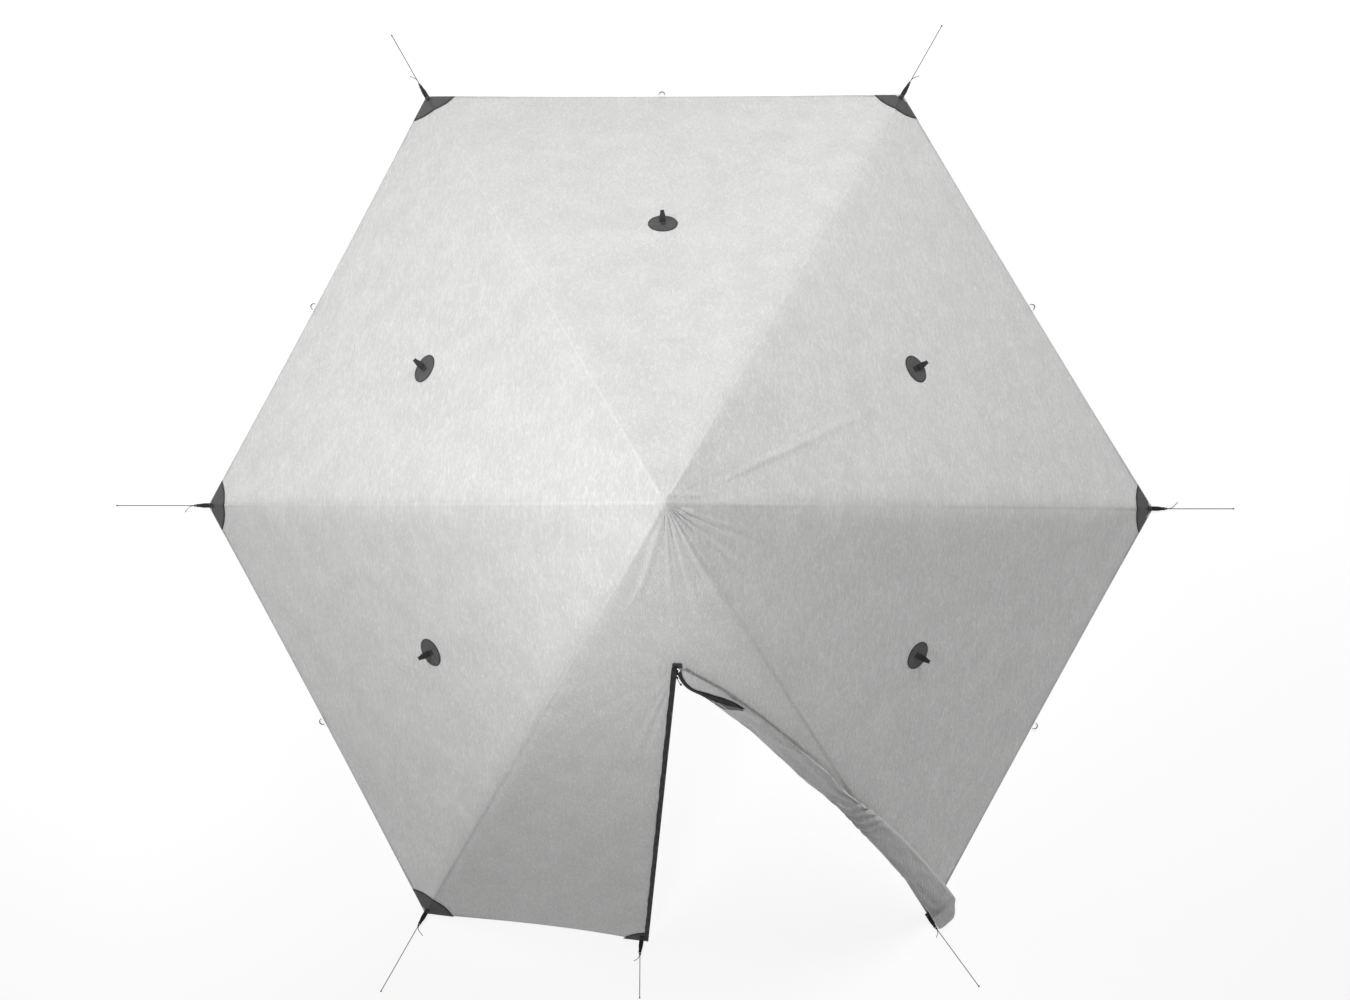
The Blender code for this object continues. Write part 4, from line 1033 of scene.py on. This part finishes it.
def webbing_material(name, dark, light):
    """Flat webbing: chevron ribs that run along the band, with cords between them."""
    made, tree, out = plain_node_material(name)
    place = add_node(tree, "ShaderNodeTexCoord")
    split = add_node(tree, "ShaderNodeSeparateXYZ", {0: place.outputs["UV"]})
    chevron = arithmetic(tree, "PINGPONG", split.outputs[0], 0.1)
    lean = arithmetic(tree, "MULTIPLY", chevron, 0.020)
    slanted = arithmetic(tree, "ADD", split.outputs[1], lean)
    levels = []
    for coordinate, pitch, height in ((slanted, 0.0014, 0.25), (split.outputs[0], 0.1, 0.2)):
        turn = arithmetic(tree, "MULTIPLY", coordinate, 2 * math.pi / pitch)
        levels.append(arithmetic(tree, "MULTIPLY", arithmetic(tree, "SINE", turn), height))
    level = arithmetic(tree, "ADD", arithmetic(tree, "ADD", *levels), 0.5)
    principled(tree, out, colour_ramp(tree, level, dark, light), bumped(tree, level, 0.7, 0.0003),
               Roughness=0.72, Sheen_Weight=0.1)
    return made


def band_parts(line, across, widths, thickness):
    """Points, faces and UVs of a flat band along a line, with rounded edges and closed ends."""
    line = np.asarray(line, float)
    across = np.broadcast_to(np.asarray(across, float), line.shape)
    tangents = np.gradient(line, axis=0)
    tangents /= np.linalg.norm(tangents, axis=1)[:, None]
    normals = np.cross(across, tangents)
    normals /= np.linalg.norm(normals, axis=1)[:, None]
    widths = np.broadcast_to(widths, len(line))
    profile = [(-0.5, 0.0), (-0.46, 0.4), (-0.25, 0.5), (0.25, 0.5), (0.46, 0.4), (0.5, 0.0),
               (0.46, -0.4), (0.25, -0.5), (-0.25, -0.5), (-0.46, -0.4)]
    along = run_along(line)
    points, uvs = [], []
    for i in range(len(line)):
        for u, v in profile:
            points.append(line[i] + across[i] * u * widths[i] + normals[i] * v * thickness)
            uvs.append((u + 0.5, along[i]))
    ring = len(profile)
    faces = [[i * ring + k, (i + 1) * ring + k, (i + 1) * ring + (k + 1) % ring,
              i * ring + (k + 1) % ring] for i in range(len(line) - 1) for k in range(ring)]
    faces.append(list(range(ring)))
    faces.append([(len(line) - 1) * ring + k for k in range(ring)][::-1])
    return points, faces, uvs


webbing = webbing_material("webbing_black", (0.006, 0.006, 0.006), (0.022, 0.022, 0.023))


def box_stitch(name, centre, along, across, length, width, outward, body):
    """A sewn box with its two diagonals."""
    a, b, c, d = (centre + along * length * s / 2 + across * width * t / 2
                  for s, t in ((-1, -1), (1, -1), (1, 1), (-1, 1)))
    lines = [[a, b, c, d, a], [a, c], [b, d]]
    repeated_along(name, lines, BOX_SPACING, BOX_THREAD, outward, body, thread)


for name in CORNER_NAMES + ["door"]:
    foot = strap_foot[name]
    way = heading_of(name)
    across = level_left(way)
    inner = [foot - way * back for back in STRAP_SEWN]
    top = [np.append(p[:2], float(drape(p[0], p[1])) + STRAP_LIFT) for p in inner]
    line = smooth_line(top + [foot + way * out + UP * height for out, height in STRAP_ROUTE], 60)
    widths = WEB_WIDTH * (1 - STRAP_TAPER * step(0.014, 0.040, (line - foot) @ way))
    part_piece("stake_webbing_" + name, band_parts(line, across, widths, WEB_PLY), "canopy",
               webbing, ["stake_loop_" + name])
    slope = unit_of(top[-1] - top[0])
    outward = np.cross(slope, across)
    outward *= math.copysign(1, outward[2])
    box_stitch("stake_stitches_" + name, (top[0] + top[-1]) / 2 + outward * THREAD_LIFT, slope,
               across, 0.018, 0.011, outward, "canopy")


# Pull-outs. In the middle of each plain wall a round patch carries a webbing loop, for a guyline
# that lifts the wall outwards in wind.

PULL_PATCH_RADIUS = 0.052
PULL_WIDTH = 0.0195
PULL_TAPER = 0.34
PULL_LIFT = 0.0030
PULL_SEWN = (-0.014, -0.004, 0.004)
# The band's way round its loop: share of the way to the loop's eye, and height over that line.
PULL_LOOP = [(0.30, 0.00308), (0.65, 0.00352), (1.08, 0.00198), (1.14, 0.0), (1.07, -0.00264),
             (0.62, -0.0022), (0.28, -0.0033)]
openings = {o["name"]: np.mean(o["box_m"], axis=0) for o in record["physics"]["openings"]}

for name in PLAIN_WALLS:
    low, high = (np.array(v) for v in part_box("pull_out_patch_" + name))
    normal, far = facets[name]
    middle = (low + high) / 2
    middle = middle - normal * (middle @ normal - far)
    level = unit_of(np.cross(UP, normal))
    fall = np.cross(level, normal)
    fall *= -math.copysign(1, fall[2])
    turn = np.linspace(0, 2 * np.pi, 49)
    out = np.linspace(0.03, 1, 16)
    rim = PULL_PATCH_RADIUS * (1 - 0.05 * np.abs(np.cos(turn)) ** 3)
    plan = middle[:2] + out[:, None, None] * (rim[:, None] * (np.cos(turn)[:, None] * level[:2]
                                                              + np.sin(turn)[:, None] * fall[:2]))
    uvs = np.stack(np.broadcast_arrays(turn[None, :] / (2 * np.pi), out[:, None]), axis=-1)
    seams = [middle[:2] + inner * (plan[-1] - middle[:2]) for inner in (0.90, 0.95)]
    sewn_patch("pull_patch", name, plan, uvs, seams, normal, "pull_out_patch_" + name)
    eye_of_loop = openings["pull_out_eye_" + name]
    way = unit_of((eye_of_loop - middle) * (1, 1, 0))
    down = unit_of(way - UP * (way @ normal) / normal[2])
    across = level_left(way)
    start = middle + normal * PULL_LIFT
    reach = eye_of_loop - start
    path = [start + down * sewn for sewn in PULL_SEWN]
    path += [start + reach * share + UP * height for share, height in PULL_LOOP]
    line = smooth_line(path, 64)
    share = np.clip(((line - start) @ reach) / (reach @ reach), 0, 1.2)
    widths = PULL_WIDTH * (1 - PULL_TAPER * step(0.55, 1.05, share))
    part_piece("pull_webbing_" + name, band_parts(line, across, widths, WEB_PLY), "canopy",
               webbing, ["pull_out_loop_" + name])
    box_stitch("pull_stitches_" + name, start - down * 0.006 + normal * THREAD_LIFT, down,
               across, 0.012, 0.012, normal, "canopy")


# Hem loops. A short band of webbing stands on edge at the middle of each plain wall's hem, and
# leaves a gap for a stake behind it.

HEM_LOOP_BACK = 0.0048
HEM_LOOP_HALF_WIDTH = 0.0115
HEM_LOOP_REACH = 0.0120
HEM_LOOP_HEIGHT = 0.0062
HEM_LOOP_BAND = 0.0100
HEM_LOOP_PLY = 0.0020

for name in PLAIN_WALLS:
    gap = openings["hem_loop_gap_" + name]
    out_way = level_unit(facets[name][0])
    along_way = np.array([-out_way[1], out_way[0]])
    centre = gap[:2] - out_way * HEM_LOOP_BACK
    sweep = np.linspace(-0.08, math.pi + 0.08, 26)
    ring = [np.append(centre + along_way * HEM_LOOP_HALF_WIDTH * math.cos(t)
                      + out_way * HEM_LOOP_REACH * math.sin(t), HEM_LOOP_HEIGHT) for t in sweep]
    parts = band_parts(ring, (0, 0, 1.0), HEM_LOOP_BAND, HEM_LOOP_PLY)
    part_piece("hem_webbing_" + name, parts, "canopy", webbing, ["hem_loop_" + name])


# The zip. A black coil zip closes the door: its left tape is sewn to the left front panel, and the
# slider waits at the top, under a stay of patch cloth. A knotted cord hangs from it.

TAPE_WIDTH = 0.0145
TAPE_GAP = 0.0012
TAPE_LIFT = 0.0028
TAPE_PLY = 0.0008
SEAM_SPACING = 0.0040
TOOTH_SPACING = 0.0020
TOOTH_SIZE = (0.0016, 0.0034, 0.0013)
PULL_RADIUS = 0.0012
# The way of the pull cord down from the slider.
PULL_ROUTE = [(0, 0, 0), (0.0006, -0.006, -0.0040), (0.0024, -0.013, -0.011),
              (0.0052, -0.021, -0.020), (0.0090, -0.029, -0.030), (0.0132, -0.036, -0.041)]
ZIP_LENGTH = float(np.linalg.norm(door_foot - zip_top)) - 0.012
zip_left = np.cross(left_panel_normal, zip_down)
zip_left *= -math.copysign(1, zip_left[0])

zip_cloth = woven_material("zip_tape_black", (0.005, 0.005, 0.005), (0.018, 0.018, 0.018), 0.0009,
                           0.65)
nylon = woven_material("zip_nylon_black", (0.010, 0.010, 0.010), (0.022, 0.022, 0.022), 0.0006,
                       0.35)


def beside_zip(down, left, lift):
    """A point by its distance down the zip, left of it, and above the panel."""
    return zip_top + zip_down * down + zip_left * left + left_panel_normal * lift


tape_rows = []
for down in np.linspace(0.0, ZIP_LENGTH, 260):
    sway = 0.0007 * math.sin(down * 31) + 0.0004 * math.sin(down * 83)
    lift = TAPE_LIFT + 0.0004 * math.sin(down * 120)
    tape_rows.append([beside_zip(down, TAPE_GAP + TAPE_WIDTH * k + sway, lift)
                      for k in (0, 0.25, 0.5, 0.75, 1.0)])
shell("zip_tape_left_cloth", tape_rows, TAPE_PLY, "canopy", zip_cloth,
      ["zip_tape_left"])
seam = [[beside_zip(down, TAPE_GAP + TAPE_WIDTH * k, 0.0031)
         for down in np.linspace(0.01, ZIP_LENGTH, 120)] for k in (0.70, 0.92)]
repeated_along("zip_tape_stitches", seam, SEAM_SPACING, (0.0004, 0.0005, 0.0028), left_panel_normal,
               "canopy", thread)
coil_line = [[beside_zip(down, 0.0002, 0.0014)
              for down in np.linspace(0.004, ZIP_LENGTH - 0.004, 60)]]
teeth = repeated_along("zip_coil_teeth", coil_line, TOOTH_SPACING, TOOTH_SIZE,
                       left_panel_normal, "canopy", nylon)
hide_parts("zip_coil_left")


def across_zip(side, down, lift):
    """A point by its distance right of the seam line, down the slope, and above the sheet."""
    level = zip_top[:2] + np.array([side, -down])
    return np.append(level, float(drape(*level)) + lift / STEEPNESS)


stay_rows = [[across_zip(half * k, down, 0.0030) for k in np.linspace(-1, 1, 9)]
             for down, half in zip(np.linspace(-0.013, 0.004, 6), np.linspace(0.0135, 0.0160, 6))]
shell("zip_top_stay_cloth", stay_rows, 0.0010, "canopy", ripstop,
      ["zip_top_stay"], np.zeros((6, 9, 2)))

pull_pivot = np.array(joints["zip_pull_swing"]["pos_m"])
pull_line = smooth_line(pull_pivot + np.array(PULL_ROUTE), 24)
pull_cord = part_piece("zip_pull_cord", tube_parts(pull_line, PULL_RADIUS, 8), "zip_pull",
                       cord_finish, ["zip_pull"])


def small_knot(name, centre, along, radius, body):
    """An overhand knot: a short tight coil round the cord."""
    side = unit_of(np.cross(along, (0.3, 0.2, 1.0)))
    size = (radius * 1.5, radius * 1.24, radius * 1.24)
    coil = coil_round(centre, along, side, np.cross(along, side), 2, 34, size)
    return part_piece(name, tube_parts(coil, radius * 0.46, 7), body, cord_finish)


pull_way = unit_of(pull_line[-1] - pull_line[-2])
pull_knots = [small_knot("zip_pull_end_knot", pull_line[-1], pull_way, 0.0030, "zip_pull"),
              small_knot("zip_pull_knot", pull_line[9], pull_way, 0.0032, "zip_pull")]


# The door. The right half of the door is rolled up, from the foot of the zip outwards, and lies
# along the edge that it folds over, tied half-way down. The right zip tape shows near its top. The
# tables below give points on the roll: share of the hinge line, and distance to its right.

# How often the cloth goes round the roll, and points for one round and along it.
LAYERS = 3.2
LAYER_STEPS = 34
STATIONS = 170
ROLL_LENGTH = 1.99
TIE_SHARE = 0.49
TIE_HALF_WIDTH = 0.0035
ROLL_START = 0.012
ROLL_END = 1.034


def roll_point(share, angle, inwards):
    """A point of the rolled door: share along it, angle round it, and how deep in the roll. The
    tie pulls it in, and the cloth beyond the tie is loose and crumpled."""
    left, right, thick = roll_size(share)
    a, b = under_door(share, left), under_door(share, right)
    along = unit_of(hinge_line)
    half = (b - a) / 2
    flat = step(0.90, 1.0, share)[..., None]
    up = door_normal * (1 - flat) + np.array([0, 0, 1.0]) * flat
    up = up - along * (up @ along)[..., None]
    up = up / np.linalg.norm(up, axis=-1, keepdims=True)
    c, s = np.cos(angle), np.sin(angle)
    wide = np.sign(c) * np.abs(c) ** 0.85 * (1 - 0.22 * inwards)
    high = np.sign(s) * np.abs(s) ** 0.7 * (1 - 0.80 * inwards)
    # Creases along the roll, broad, fine and sharp; then gathers at the tie, and crumple past it.
    run = share * ROLL_LENGTH
    pulled = np.exp(-((share - 0.50) / 0.030) ** 2)
    loose = np.exp(-((share - 0.585) / 0.050) ** 2)
    streak = 0.0018 * soft_noise(run / 0.22, angle * 1.9 + 4, 21)
    streak = streak + 0.0012 * soft_noise(run / 0.05, angle * 3.4, 22)
    streak = streak + 0.0036 * (1 - np.abs(soft_noise(run / 0.16 + angle * 0.7,
                                                      angle * 2.0, 23))) ** 6
    streak = streak + 0.0045 * pulled * np.sin(8 * angle + 60 * share)
    streak = streak + 0.0060 * loose * np.sin(5 * angle + 190 * share)
    streak = streak * step(0.02, 0.15, share)
    lift = (thick / 2)[..., None] * (1 + high[..., None]) + 0.0010 + streak[..., None]
    point = (a + b) / 2 + half * wide[..., None] + up * lift
    point[..., 2] = np.maximum(point[..., 2], 0.002)
    return point


def roll_share(progress, angle):
    """The roll's end is cut back on its right side."""
    right_side = step(0.0, 1.0, np.cos(angle))
    return ROLL_START + (ROLL_END - ROLL_START) * progress \
        - 0.034 * progress ** 12 * right_side


progress = np.linspace(0, 1, STATIONS)[:, None]
turned = np.linspace(0, 1, int(LAYERS * LAYER_STEPS) + 1)[None, :]
angles = math.pi + 0.35 - turned * LAYERS * 2 * math.pi
share, angles = np.broadcast_arrays(roll_share(progress, angles), angles)
roll_grid = roll_point(share, angles, np.broadcast_to(turned, share.shape))
roll_faces = grid_faces(*roll_grid.shape[:2])
door_roll = link_piece("door_cloth_rolled",
                       mesh_from("door_cloth_rolled", roll_grid.reshape(-1, 3), roll_faces),
                       "rolled_door", doubled_film_painted_light, ["rolled_door"])

fold_share = np.linspace(0.03, 0.985, 150)[:, None] + np.zeros((1, 7))
fold_angle = math.pi + np.linspace(0.55, -0.75, 7)[None, :] + np.zeros((150, 1))
fold_grid = roll_point(fold_share, fold_angle, np.zeros_like(fold_share) - 0.02)
fold_left, _, _ = roll_size(fold_share[:, 0])
fold_grid[:, 0] = under_door(fold_share[:, 0], fold_left + UNDER_ROLL + 0.006) + door_normal * 0.001
door_fold = link_piece("door_fold", mesh_from("door_fold", fold_grid.reshape(-1, 3),
                                              grid_faces(*fold_grid.shape[:2])),
                       None, doubled_film_painted_light)


def on_roll(share, aside, lift):
    """A point on top of the rolled door, by its place beside the hinge line."""
    left, right, thick = roll_size(share)
    part = np.clip((aside - (left + right) / 2) / ((right - left) / 2), -1, 1)
    angle = np.arccos(np.sign(part) * np.abs(part) ** (1 / 0.85))
    return roll_point(share, angle, np.zeros_like(share)) + door_normal * lift


def roll_strip(name, upper, lower, lift, finish, stands_for):
    """A strip on the roll between an upper and a lower edge, each of (share, aside) points."""
    upper, lower = smooth_line(upper, 46), smooth_line(lower, 46)
    rows = [on_roll(*(upper * (1 - k) + lower * k).T, lift) for k in np.linspace(0, 1, 7)]
    return shell(name, np.stack(rows, axis=1), TAPE_PLY, "rolled_door", finish, stands_for)


facing_cloth = woven_material("facing_cloth", (0.115, 0.115, 0.117), (0.185, 0.185, 0.188),
                              0.0011, 0.6)
roll_strip("zip_tape_right_cloth",
           [(0.006, 0.006), (0.020, -0.004), (0.036, -0.0095), (0.054, -0.0065), (0.070, 0.005),
            (0.096, 0.028), (0.125, 0.052), (0.163, 0.067)],
           [(0.008, -0.010), (0.022, -0.0175), (0.039, -0.0210), (0.057, -0.0170),
            (0.076, -0.0065), (0.095, 0.004), (0.120, 0.024), (0.161, 0.064)],
           0.0016, zip_cloth, ["zip_tape_right"])
roll_strip("zip_facing_cloth",
           [(0.088, 0.001), (0.105, 0.014), (0.128, 0.033), (0.158, 0.063)],
           [(0.092, -0.001), (0.114, 0.0065), (0.133, 0.0185), (0.164, 0.0600)],
           0.0012, facing_cloth, ["zip_facing"])
tie_angle = np.linspace(0, 2 * np.pi, 49)[:, None] + np.zeros((1, 4))
tie_share = TIE_SHARE + np.linspace(-TIE_HALF_WIDTH, TIE_HALF_WIDTH, 4)[None, :] + np.zeros((49, 1))
tie_grid = roll_point(tie_share, tie_angle, np.zeros_like(tie_share) - 0.03)
door_tie = link_piece("door_tie_band", mesh_from("door_tie_band", tie_grid.reshape(-1, 3),
                                                 grid_faces(49, 4)[:, ::-1]),
                      "rolled_door", doubled_film_painted_light, ["door_tie"])
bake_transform(door_fold)


# The pole. Two alloy tubes slide in each other and are held by a lever clamp; a rubber foot stands
# on the ground, and a cup takes the peak.


# Dark and light colour, roughness, metallic, fineness and depth of the grain, how much it is drawn
# out along the tube, and the nodes that have it.
SOLIDS = {
    "brushed_alloy": ((0.50, 0.51, 0.52), (0.68, 0.69, 0.70), 0.32, 1.0, 900.0, 0.00004, 0.02,
                      ("pole_lower", "pole_upper")),
    "steel_pin": ((0.40, 0.40, 0.40), (0.56, 0.56, 0.56), 0.28, 1.0, 1500.0, 0.00003, 1.0,
                  ("clamp_pin",)),
    "clamp_nylon": ((0.014, 0.014, 0.015), (0.028, 0.028, 0.030), 0.45, 0.0, 1200.0, 0.00006, 1.0,
                    ("pole_clamp", "clamp_lever", "pole_cup")),
    "foot_rubber": ((0.012, 0.012, 0.012), (0.026, 0.026, 0.025), 0.80, 0.0, 700.0, 0.00010, 1.0,
                    ("pole_foot",)),
    "slider_painted": ((0.016, 0.016, 0.017), (0.034, 0.034, 0.036), 0.35, 0.6, 1400.0, 0.00004,
                       1.0, ("zip_slider",)),
}


def solid_material(name, dark, light, roughness, metallic, scale, bump_depth, stretch):
    """Moulded or drawn stuff: fine grain in its colour, its roughness and its surface."""
    made, tree, out = plain_node_material(name)
    place = add_node(tree, "ShaderNodeTexCoord").outputs["Object"]
    drawn = add_node(tree, "ShaderNodeMapping",
                     {"Vector": place, "Scale": (scale, scale, scale * stretch)})
    level = grain(tree, drawn.outputs[0], 1.0, 5.0)
    rough = add_node(tree, "ShaderNodeMapRange", {
        "Value": level, "To Min": roughness * 0.8, "To Max": roughness * 1.25})
    principled(tree, out, colour_ramp(tree, level, dark, light, 0.3, 0.7),
               bumped(tree, level, 0.4, bump_depth), Metallic=metallic,
               Roughness=rough.outputs[0])
    return made


for name, (*looks, node_names) in SOLIDS.items():
    finish = solid_material(name, *looks)
    for node_name in node_names:
        for place in frame["nodes"][node_name].material_slots:
            place.material = finish
